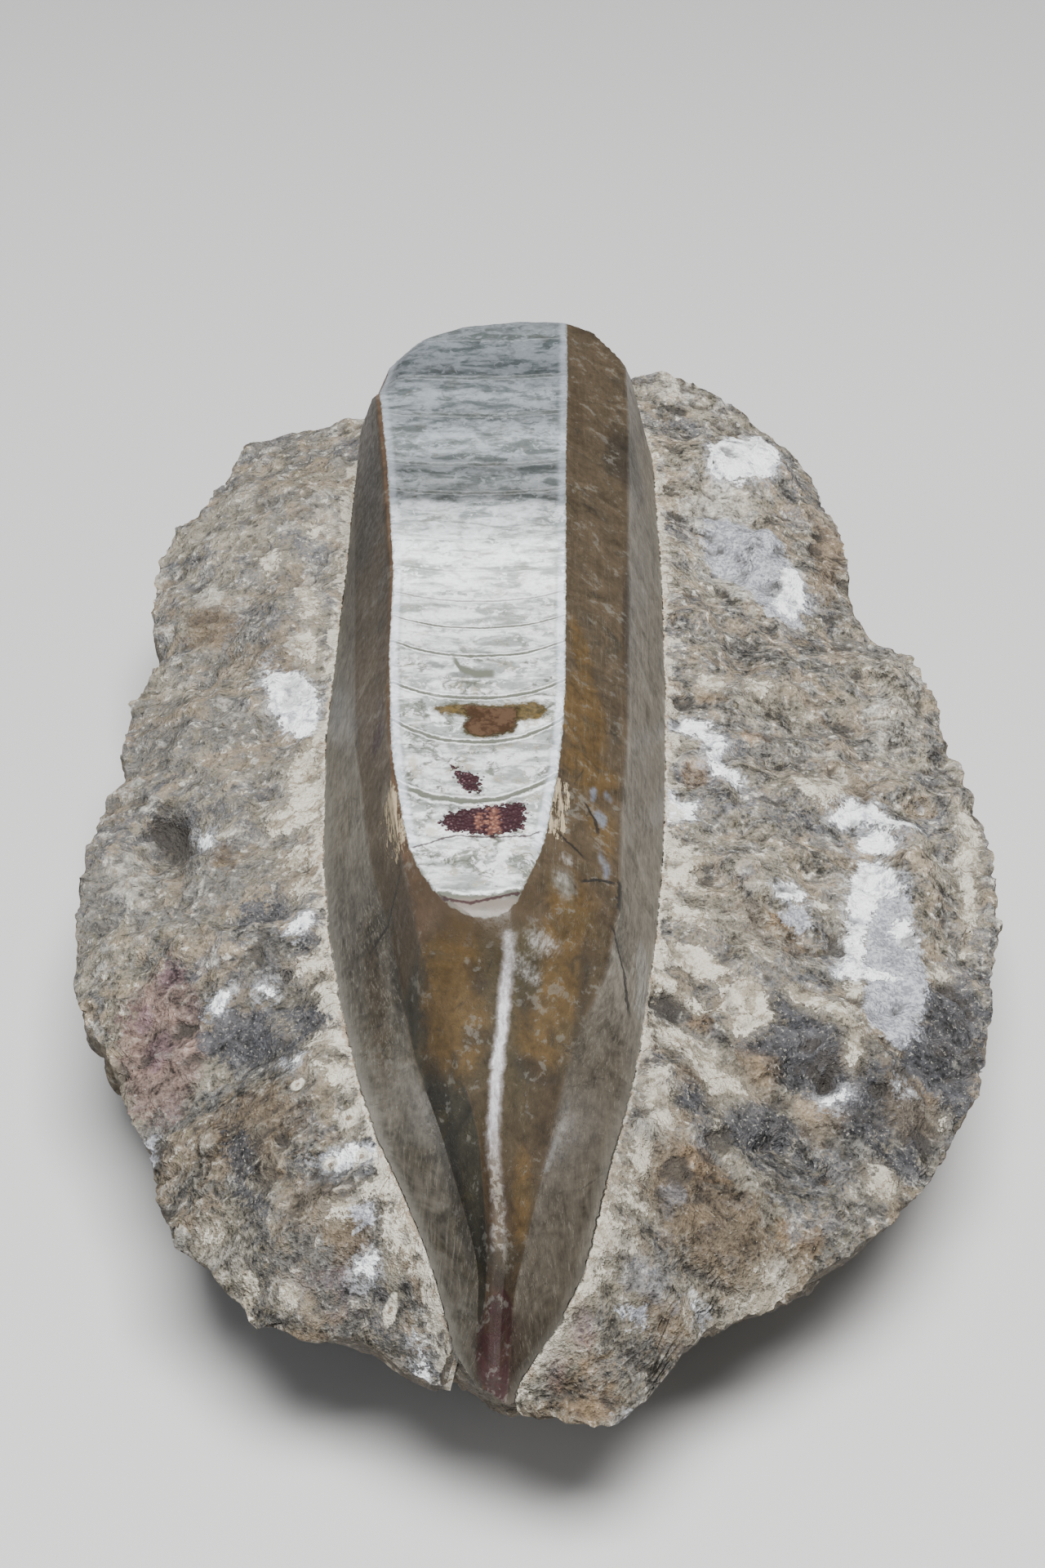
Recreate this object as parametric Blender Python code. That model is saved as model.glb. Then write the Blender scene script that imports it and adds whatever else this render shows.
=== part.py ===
"""Orthoceras fossil, ground and polished in relief on its own block of limestone.

One stone. A rough egg-shaped slab, narrow at the front, carries a long polished ridge. The
ridge is the fossil cone with a skin of limestone left on its flanks. Its top is ground flat, and
at the front it runs down into a sharp keel between two shallow troughs.

Lengths in the tables are millimetres. X runs across the slab, Y along it from the front tip to
the far end, and Z is measured from the level where the rough stone meets the polished ridge.
The finished mesh is in metres and stands on Z = 0.
"""

import bpy
import bmesh
import numpy as np
from mathutils import Vector, noise

MM = 0.001
NAME = "fossil_stone"
COLLECTION = "orthoceras_fossil"

# Driving heights, from the level of the rough stone beside the ridge.
BASE_DEPTH = 34.0
TOP = 17.4

# The rough rim, drawn as four broken lines between its corners.
FRONT_CORNER_Y = -73.0
BACK_CORNER_Y = 86.5
LEFT_RIM = (  # y, x
    (-73, -41), (-62.5, -43.5), (-57.5, -46), (-47.5, -50), (-44, -53), (-35.5, -55.5),
    (-25, -56.5), (-17.5, -57), (-10, -56.5), (-2, -55.5), (2, -53.5), (10, -55), (17.5, -55),
    (24, -54), (32, -51.5), (36, -54), (43.5, -55), (54, -55), (63, -52.5), (71.5, -48.5),
    (77.5, -47.5), (86.5, -45.5),
)
RIGHT_RIM = (
    (-73, 38), (-66, 43), (-59.5, 46.5), (-55, 49.5), (-47.5, 51.5), (-41, 53), (-32.5, 54.5),
    (-25.5, 56.5), (-15, 57), (-7, 57.2), (0, 56), (10, 54.5), (19, 54), (28.5, 53),
    (33.5, 51), (37, 45.5), (41, 44.5), (52, 45.5), (61, 45.5), (70, 43.5), (81.5, 41.5),
    (86.5, 38.5),
)
FRONT_RIM = (  # x, y
    (-41, -73), (-37, -77.5), (-31, -84), (-28.5, -87), (-25, -89), (-19, -88.5),
    (-13.5, -92.5), (-8.5, -95), (-3.5, -97.5), (3.5, -99.5), (7, -99), (10.5, -96),
    (12, -93), (15.5, -90), (17.5, -87), (23.5, -84), (29, -79.5), (35, -75.5), (38, -73),
)
BACK_RIM = (
    (-45.5, 86.5), (-40.5, 91.5), (-34, 94), (-27, 95.5), (-14, 97.5), (-4, 98), (6, 99.5),
    (20, 99.5), (25, 97.5), (30, 93.5), (35, 89.5), (38.5, 86.5),
)
RIM_LEVEL = ((-100, -14), (-60, -11.5), (-30, -10), (0, -8.5), (85, -8))  # y, z
FAR_CORNER = (22.0, 98.0)  # here the broken rim stands higher
FAR_CORNER_RISE = 6.5
FAR_CORNER_REACH = 16.0

# Lines that run along the polished ridge: y, x, z. In each, the first point is at the tip.
OUTLINE_LEFT = (
    (-98.5, -6.9, -12.2), (-96.5, -7.7, -9.5), (-94.5, -9.0, -7.0), (-90, -10.5, -3.5),
    (-86, -11.9, -1.7), (-79, -14.7, -0.2), (-72, -17.4, 0), (-64, -19.6, 0), (-50.5, -22.5, 0),
    (-39, -24.3, 0), (-26, -25.8, 0), (0, -27, 0), (39, -26.5, 0), (64, -26.5, 0),
)
CREASE_LEFT = (
    (-98.5, -6.3, -13.2), (-96.5, -6.7, -11.3), (-90, -6.6, -8.3), (-84.5, -6.5, -6.6),
    (-80, -7.6, -4.9), (-75, -9.2, -2.9), (-69.5, -10.9, -0.7), (-62.5, -13.6, 2),
    (-55, -15.2, 4.8), (-48, -16.6, 7.3), (-37.5, -19.2, 9), (-12, -22.4, 9), (6, -23.3, 9),
    (46, -25.4, 9),
)
SHOULDER_LEFT = (
    (-98.5, -5.8, -13.4), (-96.5, -6.1, -11.2), (-90, -5.9, -7.2), (-86, -5.6, -4.6),
    (-80, -5.9, -1.9), (-72.5, -6.6, 1.5), (-65, -9, 5.5), (-58.5, -11.8, 10),
    (-56.5, -12.8, 12.4), (-50, -14.3, 15.3), (-43.5, -15.6, 16.8), (-36, -16.6, 17),
    (-15, -18.2, 17), (12, -18.8, 17), (40, -21, 17), (62, -23, 17),
)
FLAT_LEFT = (
    (-98.5, -5.4, -13.4), (-96.5, -5.5, -11), (-90, -5.3, -6.4), (-86, -4.9, -4),
    (-80, -5.2, -0.8), (-75, -5.5, 1.8), (-70, -5.2, 4.6), (-64.5, -4.7, 7.9), (-61, -4.5, 10.6),
    (-58, -4.5, 13.8), (-56.5, -6, 16.6), (-55.5, -8, TOP), (-53, -10.9, TOP),
    (-48.5, -13.1, TOP), (-43.5, -14.8, TOP), (-36, -15.8, TOP), (-15, -17.5, TOP),
    (12, -18.1, TOP), (40, -20.2, TOP), (62, -22.3, TOP),
)
KEEL = (
    (-98.5, -5, -13.4), (-96.5, -5, -10.9), (-90, -4.7, -6.1), (-86, -4.3, -3.7),
    (-80, -4.6, -0.5), (-75, -4.9, 2.1), (-70, -4.6, 4.9), (-64.5, -4, 8.2), (-61, -3.8, 10.9),
    (-58, -3.7, 14), (-56.5, -4.6, 16.8), (-55, -6.2, TOP), (-48, -7.3, TOP), (-36, -7.5, TOP),
    (-15, -7.2, TOP), (12, -7.3, TOP), (62, -9, TOP),
)
FLAT_RIGHT = (
    (-98.5, -4.6, -13.4), (-96.5, -4.4, -11), (-90, -4.1, -6.4), (-86, -3.7, -4), (-80, -4, -0.8),
    (-75, -4.3, 1.8), (-70, -4, 4.6), (-64.5, -3.3, 7.9), (-61, -3.1, 10.6), (-58, -2.9, 13.6),
    (-56, -3.3, 16.8), (-54, -3.2, TOP), (-48, -1.6, TOP), (-40.5, -0.2, TOP), (-33, 1.2, TOP),
    (-23.5, 2.6, TOP), (-15, 3.1, TOP), (12, 3.5, TOP), (62, 4.2, TOP),
)
CREASE_RIGHT = (
    (-98.5, -3.9, -13.3), (-96.5, -3.4, -11.3), (-90, -3.1, -8.3), (-87, -2.8, -7),
    (-81, -1.2, -3.8), (-73, 0.9, -0.3), (-66, 2.6, 3.1), (-62, 3.9, 5.3), (-56, 7, 8.4),
    (-47, 8.8, 11.6), (-32, 9.4, 12), (-16, 10.7, 12), (20, 11.9, 12), (62, 13.2, 12.5),
)
OUTLINE_RIGHT = (
    (-98.5, -2.9, -12.6), (-96.5, -2.3, -10), (-95.5, -0.8, -7.5), (-93.5, 1.8, -4.3),
    (-89, 4.2, -2.3), (-81.5, 6, -0.6), (-75, 7.4, 0), (-66.5, 9.4, 0), (-57.5, 11, 0),
    (-47, 12.4, 0), (-40, 13.3, 0), (-24.5, 14.8, 0), (-8.5, 15.8, 0), (9.5, 16.6, 0),
    (39, 17.3, 0), (64, 17.3, 0),
)
RIDGE_LINES = (
    OUTLINE_LEFT, CREASE_LEFT, SHOULDER_LEFT, FLAT_LEFT,
    KEEL, FLAT_RIGHT, CREASE_RIGHT, OUTLINE_RIGHT,
)
FAR_END = (  # x, y of the foot of the rounded far end
    (-26.5, 64), (-25.3, 72), (-21, 80.5), (-13, 85.6), (-3, 87.6), (5, 87.4), (11.5, 84.8),
    (15.8, 78.5), (17.3, 70), (17.3, 64),
)
END_WALL = ((0, 0), (1.6, 9), (4.2, 15.2), (6.5, 17.1), (9, TOP), (400, TOP))  # inset, z
EASE_REACH = 1.6  # how far a bend in a ridge line is rounded
RUN_OUT = 6.0  # the troughs at the tip run on this far, out over the rim

# Cells across the slab between the lines above, and rows along it.
CELLS_ACROSS = (9, 2, 2, 1, 2, 2, 3, 2, 11)
ROW_SPANS = ((-97.6, -60, 15), (-60, -45, 8), (-45, 77, 40), (77, 89, 7), (89, 98.6, 4))
MIDDLE_X = -4.0

# The rough deck: rises, hollows and ledges that stand out from a step away.
FALL_POWER = 1.35
LUMPS = (  # x, y, reach across, reach along, turn in degrees, height
    (-39, 60, 11, 14, 10, 2.6), (-33, 30, 7, 10, -20, 1.8), (-46, -14, 4, 6.5, 20, -3.2),
    (-44, 8, 7, 8, 0, 1.5), (-38, -36, 9, 3.5, -12, 1.6), (-31, -52, 9, 7, 20, -1.8),
    (-25, -76, 8, 5, -40, 1.5), (31, 72, 9, 8, 0, 2.8), (36, 50, 8, 7, 30, 1.4),
    (25, 42, 5, 16, 0, -1.8), (45, 20, 7, 8, 0, 1.6), (33, 5, 7, 9, 15, -1.5),
    (45.5, -22, 3.2, 12, -4, 2.4), (52, -5, 3, 9, 0, 1.2), (23, -58, 9, 12, 10, -2.4),
    (38, -52, 7, 6, 30, 1.6), (20, -80, 8, 4, 35, 1.2), (26, -28, 6, 7, 0, 1.2),
)
LEDGES = (  # x, y of a point on it, heading in degrees, half length, drop on its near side
    (-36, -33, 172, 17, 1.8), (44, 36, 5, 9, 2.2), (39, -2, 78, 18, 1.2), (-47, 27, 20, 8, 1.6),
)
LEDGE_WIDTH = 1.6
LEDGE_REACH = 11.0
CHIP_SIZE = 8.5  # of the flat broken faces
CHIP_TILT = 0.42
CHIP_STEP = 0.35  # how far a face stands above or below its neighbours, against its tilt
CHIP_EDGE = 0.2  # share of a face over which it runs into its neighbours
CHIP_SHUFFLE = 7.3  # spreads the tilts of neighbouring faces
CHIP_SEED = 4  # fixes the tilts, which would otherwise differ from run to run
SWELL = 1.1  # height of the soft lumps between them
SWELL_SIZE = 13.0
CALM_EDGE = 3.0  # the roughness dies out this near to the ridge

# Rings down the side: share of the way down, share of the plan size, and how rough it is.
SIDE_RINGS = (
    (0.09, 0.99, 0.3), (0.26, 0.955, 1.0), (0.48, 0.905, 1.5), (0.72, 0.84, 1.5),
    (0.93, 0.775, 0.9), (1.0, 0.742, 0.5),
)
SIDE_CHIP_SIZE = 15.0
SIDE_CHIP_TILT = 0.42
SOFTENING = 7  # neighbours each way over which the base outline smooths the rim's notches
UNDERCUT = ((-95, 1.0), (-70, 0.85), (-45, 0.62), (60, 0.62), (95, 0.8))  # y, share drawn in


def remove_objects():
    """Empties the scene."""
    for thing in list(bpy.data.objects):
        bpy.data.objects.remove(thing, do_unlink=True)


def limestone():
    """The polished brown-grey limestone of the slab."""
    material = bpy.data.materials.new("limestone")
    material.use_nodes = True
    shader = material.node_tree.nodes["Principled BSDF"]
    shader.inputs["Base Color"].default_value = (0.27, 0.225, 0.17, 1.0)
    shader.inputs["Roughness"].default_value = 0.6
    shader.inputs["Metallic"].default_value = 0.0
    return material


def broken(points, at):
    """Value of a line of (coordinate, value) points, straight between them."""
    where, value = np.array(points, float).T
    return np.interp(at, where, value)


def eased(line, at):
    """x and z of a ridge line at some y, with each bend rounded."""
    where, across, level = np.array(line, float).T
    near = EASE_REACH * np.array([-1.0, -0.5, 0.0, 0.5, 1.0])
    spots = np.asarray(at, float)[..., None] + near
    return np.interp(spots, where, across).mean(-1), np.interp(spots, where, level).mean(-1)


def distance_to(points, path, closed=False):
    """Distance from each of the points to a path of straight pieces."""
    path = np.array(path, float)
    ends = np.roll(path, -1, axis=0) if closed else path[1:]
    starts = path if closed else path[:-1]
    along = ends - starts
    away = points[:, None, :] - starts
    share = (away * along).sum(-1) / np.maximum((along**2).sum(-1), 1e-9)
    gap = away - np.clip(share, 0, 1)[..., None] * along
    return np.sqrt((gap**2).sum(-1)).min(1)


def rim_path():
    """The rim as one closed path of (x, y), from the front left corner."""
    front = list(FRONT_RIM)
    right = [(x, y) for y, x in RIGHT_RIM][1:]
    back = list(BACK_RIM)[::-1][1:]
    left = [(x, y) for y, x in LEFT_RIM][::-1][1:-1]
    return front + right + back + left


def foot_path():
    """The foot of the polished ridge as one closed path of (x, y), from in front of its tip."""
    left, right = ([(x, y) for y, x, _ in line] for line in (OUTLINE_LEFT, OUTLINE_RIGHT))
    starts = [(side[0][0], side[0][1] - RUN_OUT) for side in (left, right)]
    return [starts[0], *left, *FAR_END[1:-1], *right[::-1], starts[1]]


def inside(points, path):
    """Which of the points lie inside a closed path."""
    path = np.array(path, float)
    ends = np.roll(path, -1, axis=0)
    x, y = points[:, 0, None], points[:, 1, None]
    (x0, y0), (x1, y1) = path.T, ends.T
    spans = (y0 > y) != (y1 > y)
    rise = np.where(y1 == y0, 1e-9, y1 - y0)
    crosses = spans & (x < (x1 - x0) * (y - y0) / rise + x0)
    return crosses.sum(1) % 2 == 1


def ridge_level(points):
    """Height of the polished ridge over each point."""
    x, y = points.T
    lines = [eased(line, y) for line in RIDGE_LINES]
    level = lines[0][1].copy()
    for (x0, z0), (x1, z1) in zip(lines, lines[1:]):
        share = np.clip((x - x0) / np.maximum(x1 - x0, 1e-6), 0, 1)
        level = np.where(x >= x0, z0 + share * (z1 - z0), level)
    inset = np.maximum(distance_to(points, FAR_END), FAR_END[0][1] - y)
    return np.minimum(level, broken(END_WALL, inset))


def rim_level(points):
    """Height of the broken rim near each point."""
    corner = np.hypot(points[:, 0] - FAR_CORNER[0], points[:, 1] - FAR_CORNER[1])
    rise = FAR_CORNER_RISE * np.exp(-((corner / FAR_CORNER_REACH) ** 2))
    return broken(RIM_LEVEL, points[:, 1]) + rise


def relief(points):
    """Rises, hollows and ledges of the rough deck."""
    x, y = points.T
    level = np.zeros(len(points))
    for x0, y0, wide, long, turn, height in LUMPS:
        c, s = np.cos(np.radians(turn)), np.sin(np.radians(turn))
        a = ((x - x0) * c + (y - y0) * s) / wide
        b = ((y - y0) * c - (x - x0) * s) / long
        level += height * np.exp(-((a**2 + b**2) ** 1.5))
    for x0, y0, heading, half, drop in LEDGES:
        c, s = np.cos(np.radians(heading)), np.sin(np.radians(heading))
        along = ((x - x0) * c + (y - y0) * s) / half
        away = (x - x0) * s - (y - y0) * c
        fades = np.exp(-(along**4)) * np.exp(-np.maximum(away, 0) / LEDGE_REACH)
        level -= drop * fades / (1 + np.exp(-away / (LEDGE_WIDTH / 4)))
    return level


def chip(spot, size, tilt):
    """Height of a surface broken into flat faces, each tilted its own way and closed at its edges."""
    place = spot / size
    reaches, centres = noise.voronoi(place)
    lean = noise.noise_vector(centres[0] * CHIP_SHUFFLE)
    step = min(1.0, (reaches[1] - reaches[0]) / CHIP_EDGE)
    return step * tilt * size * (lean.dot(place - centres[0]) + CHIP_STEP * lean.z)


def roughness(points):
    """Broken faces and soft lumps of rough stone, over the plan."""
    rough = []
    for x, y in points:
        swell = noise.fractal(Vector((x, y, 3.0)) / SWELL_SIZE, 0.9, 2.0, 3)
        rough.append(chip(Vector((x, y, 11.0)), CHIP_SIZE, CHIP_TILT) + SWELL * swell)
    return np.array(rough)


def deck_level(points):
    """Height of the rough deck, which falls from the foot of the ridge to the rim."""
    foot = distance_to(points, foot_path(), closed=True)
    rim = distance_to(points, rim_path(), closed=True)
    out = foot / np.maximum(foot + rim, 1e-6)
    left, right = (eased(line, points[:, 1])[1] for line in (OUTLINE_LEFT, OUTLINE_RIGHT))
    start = np.where(points[:, 0] < MIDDLE_X, left, right)
    level = start + (rim_level(points) - start) * out**FALL_POWER
    calm = 1 - np.exp(-foot / CALM_EDGE)
    return level + calm * (relief(points) + roughness(points))


def top_level(points):
    """Height of the stone's upper face over each point."""
    return np.where(inside(points, foot_path()), ridge_level(points), deck_level(points))


def row_middles():
    """y of each row where it crosses the middle of the slab."""
    spans = [np.linspace(a, b, n, endpoint=False) for a, b, n in ROW_SPANS]
    return np.concatenate(spans + [[ROW_SPANS[-1][1]]])


def row_bend(across, share):
    """How far a row has bent towards its end height, for a place across it from -1 to 1."""
    bends = []
    for rim, corner_y in ((FRONT_RIM, FRONT_CORNER_Y), (BACK_RIM, BACK_CORNER_Y)):
        side_x = np.where(across < 0, rim[0][0], rim[-1][0])
        x = MIDDLE_X + np.abs(across) * (side_x - MIDDLE_X)
        middle = broken(rim, MIDDLE_X)
        bends.append((broken(rim, x) - middle) / (corner_y - middle))
    return bends[0] * (1 - share) + bends[1] * share


def row_places(middle, first, last):
    """x and y of the vertices of one row, which bends with the rim and keeps to the ridge lines."""
    share = (middle - first) / (last - first)
    side_y = FRONT_CORNER_Y + share * (BACK_CORNER_Y - FRONT_CORNER_Y)
    rims = broken(LEFT_RIM, side_y), broken(RIGHT_RIM, side_y)
    y = np.full(sum(CELLS_ACROSS) + 1, middle)
    for _ in range(4):
        lines = [np.full_like(y, rims[0])] + [eased(line, y)[0] for line in RIDGE_LINES]
        lines.append(np.full_like(y, rims[1]))
        x, begin = np.empty_like(y), 0
        for cells, low, high in zip(CELLS_ACROSS, lines, lines[1:]):
            spots = np.arange(begin, begin + cells + 1)
            x[spots] = low[spots] + (high[spots] - low[spots]) * (spots - begin) / cells
            begin += cells
        reach = np.where(x < MIDDLE_X, MIDDLE_X - rims[0], rims[1] - MIDDLE_X)
        y = middle + (side_y - middle) * row_bend((x - MIDDLE_X) / reach, share)
    return np.stack([x, y], 1)


def top_places():
    """Plan of the upper face: rows of (x, y), with its outer rows exactly on the rim."""
    middles = row_middles()
    rows = [row_places(middle, middles[0], middles[-1]) for middle in middles]
    plan = np.array(rows)
    plan[0, :, 1] = broken(FRONT_RIM, plan[0, :, 0])
    plan[-1, :, 1] = broken(BACK_RIM, plan[-1, :, 0])
    return plan


def side_ring(rim, down, size, rough):
    """One ring of the side: the rim smoothed, drawn in and lowered, with broken faces."""
    shifts = range(-SOFTENING, SOFTENING + 1)
    soft = np.mean([np.roll(rim, shift, axis=0) for shift in shifts], axis=0)
    ring = []
    for sharp, smooth in zip(rim, soft):
        drawn = 1 - (1 - size) * broken(UNDERCUT, sharp[1])
        x, y = (sharp + (smooth - sharp) * down**0.5)[:2] * drawn
        spot = Vector((x, y, sharp[2] - (BASE_DEPTH + sharp[2]) * down))
        outward = Vector((x, y, 0)).normalized()
        ring.append(spot + outward * rough * chip(spot, SIDE_CHIP_SIZE, SIDE_CHIP_TILT))
    return ring


def build_stone():
    """The whole stone as one closed mesh: the upper face, the side rings and the sawn base."""
    plan = top_places()
    rows, columns = plan.shape[:2]
    level = top_level(plan.reshape(-1, 2)).reshape(rows, columns)
    stone = bmesh.new()
    bmesh.ops.create_grid(stone, x_segments=columns - 1, y_segments=rows - 1, size=1.0)
    stone.verts.ensure_lookup_table()
    grid = [[stone.verts[j * columns + i] for i in range(columns)] for j in range(rows)]
    for j, row in enumerate(grid):
        for i, vertex in enumerate(row):
            vertex.co = (*plan[j, i], level[j, i])
    border = grid[0][:-1] + [row[-1] for row in grid[:-1]]
    border += grid[-1][:0:-1] + [row[0] for row in grid[:0:-1]]
    rim = np.array([vertex.co for vertex in border])
    ring = border
    for down, size, rough in SIDE_RINGS:
        lower = [stone.verts.new(spot) for spot in side_ring(rim, down, size, rough)]
        if down == 1.0:
            for vertex in lower:
                vertex.co.z = -BASE_DEPTH
        for k, vertex in enumerate(ring):
            after = (k + 1) % len(ring)
            stone.faces.new((vertex, lower[k], lower[after], ring[after]))
        ring = lower
    bmesh.ops.contextual_create(stone, geom=ring)
    bmesh.ops.triangulate(stone, faces=list(stone.faces))
    bmesh.ops.recalc_face_normals(stone, faces=list(stone.faces))
    bmesh.ops.translate(stone, vec=(0, 0, BASE_DEPTH), verts=list(stone.verts))
    bmesh.ops.scale(stone, vec=(MM, MM, MM), verts=list(stone.verts))
    mesh = bpy.data.meshes.new(NAME)
    stone.to_mesh(mesh)
    stone.free()
    return mesh


def main():
    remove_objects()
    noise.seed_set(CHIP_SEED)
    collection = bpy.data.collections.new(COLLECTION)
    bpy.context.scene.collection.children.link(collection)
    mesh = build_stone()
    mesh.materials.append(limestone())
    collection.objects.link(bpy.data.objects.new(NAME, mesh))


main()
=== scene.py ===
"""Orthoceras fossil, ground and polished in relief on its own block of limestone.

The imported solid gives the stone's form. This script lays the fine surface over it: the broken
grain of the rough stone, the polished ridge with its white chambered shell, and their finishes.
It also sets up a plain studio and the camera. Tables and shape functions are in millimetres,
with Z measured from the level where the rough stone meets the polished ridge.
"""

import logging
import math
from dataclasses import dataclass, field, replace
from enum import Enum
from functools import cached_property
from typing import Callable, Iterable, Optional, Sequence, Union

import bpy
import numpy as np
from mathutils import Euler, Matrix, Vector, noise


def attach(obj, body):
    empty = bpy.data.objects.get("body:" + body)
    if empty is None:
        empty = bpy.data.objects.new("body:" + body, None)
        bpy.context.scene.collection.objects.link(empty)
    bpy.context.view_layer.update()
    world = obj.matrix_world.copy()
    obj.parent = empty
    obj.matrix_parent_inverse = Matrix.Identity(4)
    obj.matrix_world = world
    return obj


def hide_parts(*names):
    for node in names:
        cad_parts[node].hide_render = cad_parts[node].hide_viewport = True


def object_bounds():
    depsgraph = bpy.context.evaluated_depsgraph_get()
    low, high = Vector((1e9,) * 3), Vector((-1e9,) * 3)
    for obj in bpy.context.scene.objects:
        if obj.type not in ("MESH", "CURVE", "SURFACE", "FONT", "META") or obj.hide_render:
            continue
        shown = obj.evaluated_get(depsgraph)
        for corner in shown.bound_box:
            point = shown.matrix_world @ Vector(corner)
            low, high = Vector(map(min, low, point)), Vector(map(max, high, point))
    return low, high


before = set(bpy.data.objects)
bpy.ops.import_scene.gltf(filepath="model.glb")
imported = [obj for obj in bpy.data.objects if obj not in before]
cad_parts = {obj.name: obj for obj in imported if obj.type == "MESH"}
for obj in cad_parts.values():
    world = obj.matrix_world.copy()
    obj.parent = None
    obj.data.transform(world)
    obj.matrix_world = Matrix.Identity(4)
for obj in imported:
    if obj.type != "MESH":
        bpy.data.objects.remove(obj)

MM = 0.001
NODE = "fossil_stone"
CAD_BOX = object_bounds()

Colour = tuple[float, float, float]
Blob = tuple[float, float, float, float, float, float]

# ------------------------------------------------------------------ the stone's form

LEFT_RIM = (  # y, x
    (-73, -41), (-62.5, -43.5), (-57.5, -46), (-47.5, -50), (-44, -53), (-35.5, -55.5),
    (-25, -56.5), (-17.5, -57), (-10, -56.5), (-2, -55.5), (2, -53.5), (10, -55), (17.5, -55),
    (24, -54), (32, -51.5), (36, -54), (43.5, -55), (54, -55), (63, -52.5), (71.5, -48.5),
    (77.5, -47.5), (86.5, -45.5),
)
RIGHT_RIM = (
    (-73, 38), (-66, 43), (-59.5, 46.5), (-55, 49.5), (-47.5, 51.5), (-41, 53), (-32.5, 54.5),
    (-25.5, 56.5), (-15, 57), (-7, 57.2), (0, 56), (10, 54.5), (19, 54), (28.5, 53),
    (33.5, 51), (37, 45.5), (41, 44.5), (52, 45.5), (61, 45.5), (70, 43.5), (81.5, 41.5),
    (86.5, 38.5),
)
FRONT_RIM = (  # x, y
    (-41, -73), (-37, -77.5), (-31, -84), (-28.5, -87), (-25, -89), (-19, -88.5),
    (-13.5, -92.5), (-8.5, -95), (-3.5, -97.5), (3.5, -99.5), (7, -99), (10.5, -96),
    (12, -93), (15.5, -90), (17.5, -87), (23.5, -84), (29, -79.5), (35, -75.5), (38, -73),
)
BACK_RIM = (
    (-45.5, 86.5), (-40.5, 91.5), (-34, 94), (-27, 95.5), (-14, 97.5), (-4, 98), (6, 99.5),
    (20, 99.5), (25, 97.5), (30, 93.5), (35, 89.5), (38.5, 86.5),
)
RIM_LEVEL = ((-100, -14), (-60, -11.5), (-30, -10), (0, -8.5), (85, -8))  # y, z

TOP = 17.4
# Lines that run along the polished ridge: y, x, z. In each, the first point is at the tip.
OUTLINE_LEFT = (
    (-98.5, -6.9, -12.2), (-96.5, -7.7, -9.5), (-94.5, -9, -7), (-90, -10.5, -3.5),
    (-86, -11.9, -1.7), (-79, -14.7, -0.2), (-72, -17.4, 0), (-64, -19.6, 0), (-50.5, -22.5, 0),
    (-39, -24.3, 0), (-26, -25.8, 0), (0, -27, 0), (39, -26.5, 0), (64, -26.5, 0),
)
CREASE_LEFT = (
    (-98.5, -6.3, -13.2), (-96.5, -6.7, -11.3), (-90, -6.6, -8.3), (-84.5, -6.5, -6.6),
    (-80, -7.6, -4.9), (-75, -9.2, -2.9), (-69.5, -10.9, -0.7), (-62.5, -13.6, 2),
    (-55, -15.2, 4.8), (-48, -16.6, 7.3), (-37.5, -19.2, 9), (-12, -22.4, 9), (6, -23.3, 9),
    (46, -25.4, 9),
)
SHOULDER_LEFT = (
    (-98.5, -5.8, -13.4), (-96.5, -6.1, -11.2), (-90, -5.9, -7.2), (-86, -5.6, -4.6),
    (-80, -5.9, -1.9), (-72.5, -6.6, 1.5), (-65, -9, 5.5), (-58.5, -11.8, 10),
    (-56.5, -12.8, 12.4), (-50, -14.3, 15.3), (-43.5, -15.6, 16.8), (-36, -16.6, 17),
    (-15, -18.2, 17), (12, -18.8, 17), (40, -21, 17), (62, -23, 17),
)
FLAT_LEFT = (
    (-98.5, -5.4, -13.4), (-96.5, -5.5, -11), (-90, -5.3, -6.4), (-86, -4.9, -4),
    (-80, -5.2, -0.8), (-75, -5.5, 1.8), (-70, -5.2, 4.6), (-64.5, -4.7, 7.9), (-61, -4.5, 10.6),
    (-58, -4.5, 13.8), (-56.5, -6, 16.6), (-55.5, -8, TOP), (-53, -10.9, TOP),
    (-48.5, -13.1, TOP), (-43.5, -14.8, TOP), (-36, -15.8, TOP), (-15, -17.5, TOP),
    (12, -18.1, TOP), (40, -20.2, TOP), (62, -22.3, TOP),
)
KEEL = (
    (-98.5, -5, -13.4), (-96.5, -5, -10.9), (-90, -4.7, -6.1), (-86, -4.3, -3.7),
    (-80, -4.6, -0.5), (-75, -4.9, 2.1), (-70, -4.6, 4.9), (-64.5, -4, 8.2), (-61, -3.8, 10.9),
    (-58, -3.7, 14), (-56.5, -4.6, 16.8), (-55, -6.2, TOP), (-48, -7.3, TOP), (-36, -7.5, TOP),
    (-15, -7.2, TOP), (12, -7.3, TOP), (62, -9, TOP),
)
FLAT_RIGHT = (
    (-98.5, -4.6, -13.4), (-96.5, -4.4, -11), (-90, -4.1, -6.4), (-86, -3.7, -4), (-80, -4, -0.8),
    (-75, -4.3, 1.8), (-70, -4, 4.6), (-64.5, -3.3, 7.9), (-61, -3.1, 10.6), (-58, -2.9, 13.6),
    (-56, -3.3, 16.8), (-54, -3.2, TOP), (-48, -1.6, TOP), (-40.5, -0.2, TOP), (-33, 1.2, TOP),
    (-23.5, 2.6, TOP), (-15, 3.1, TOP), (12, 3.5, TOP), (62, 4.2, TOP),
)
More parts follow.
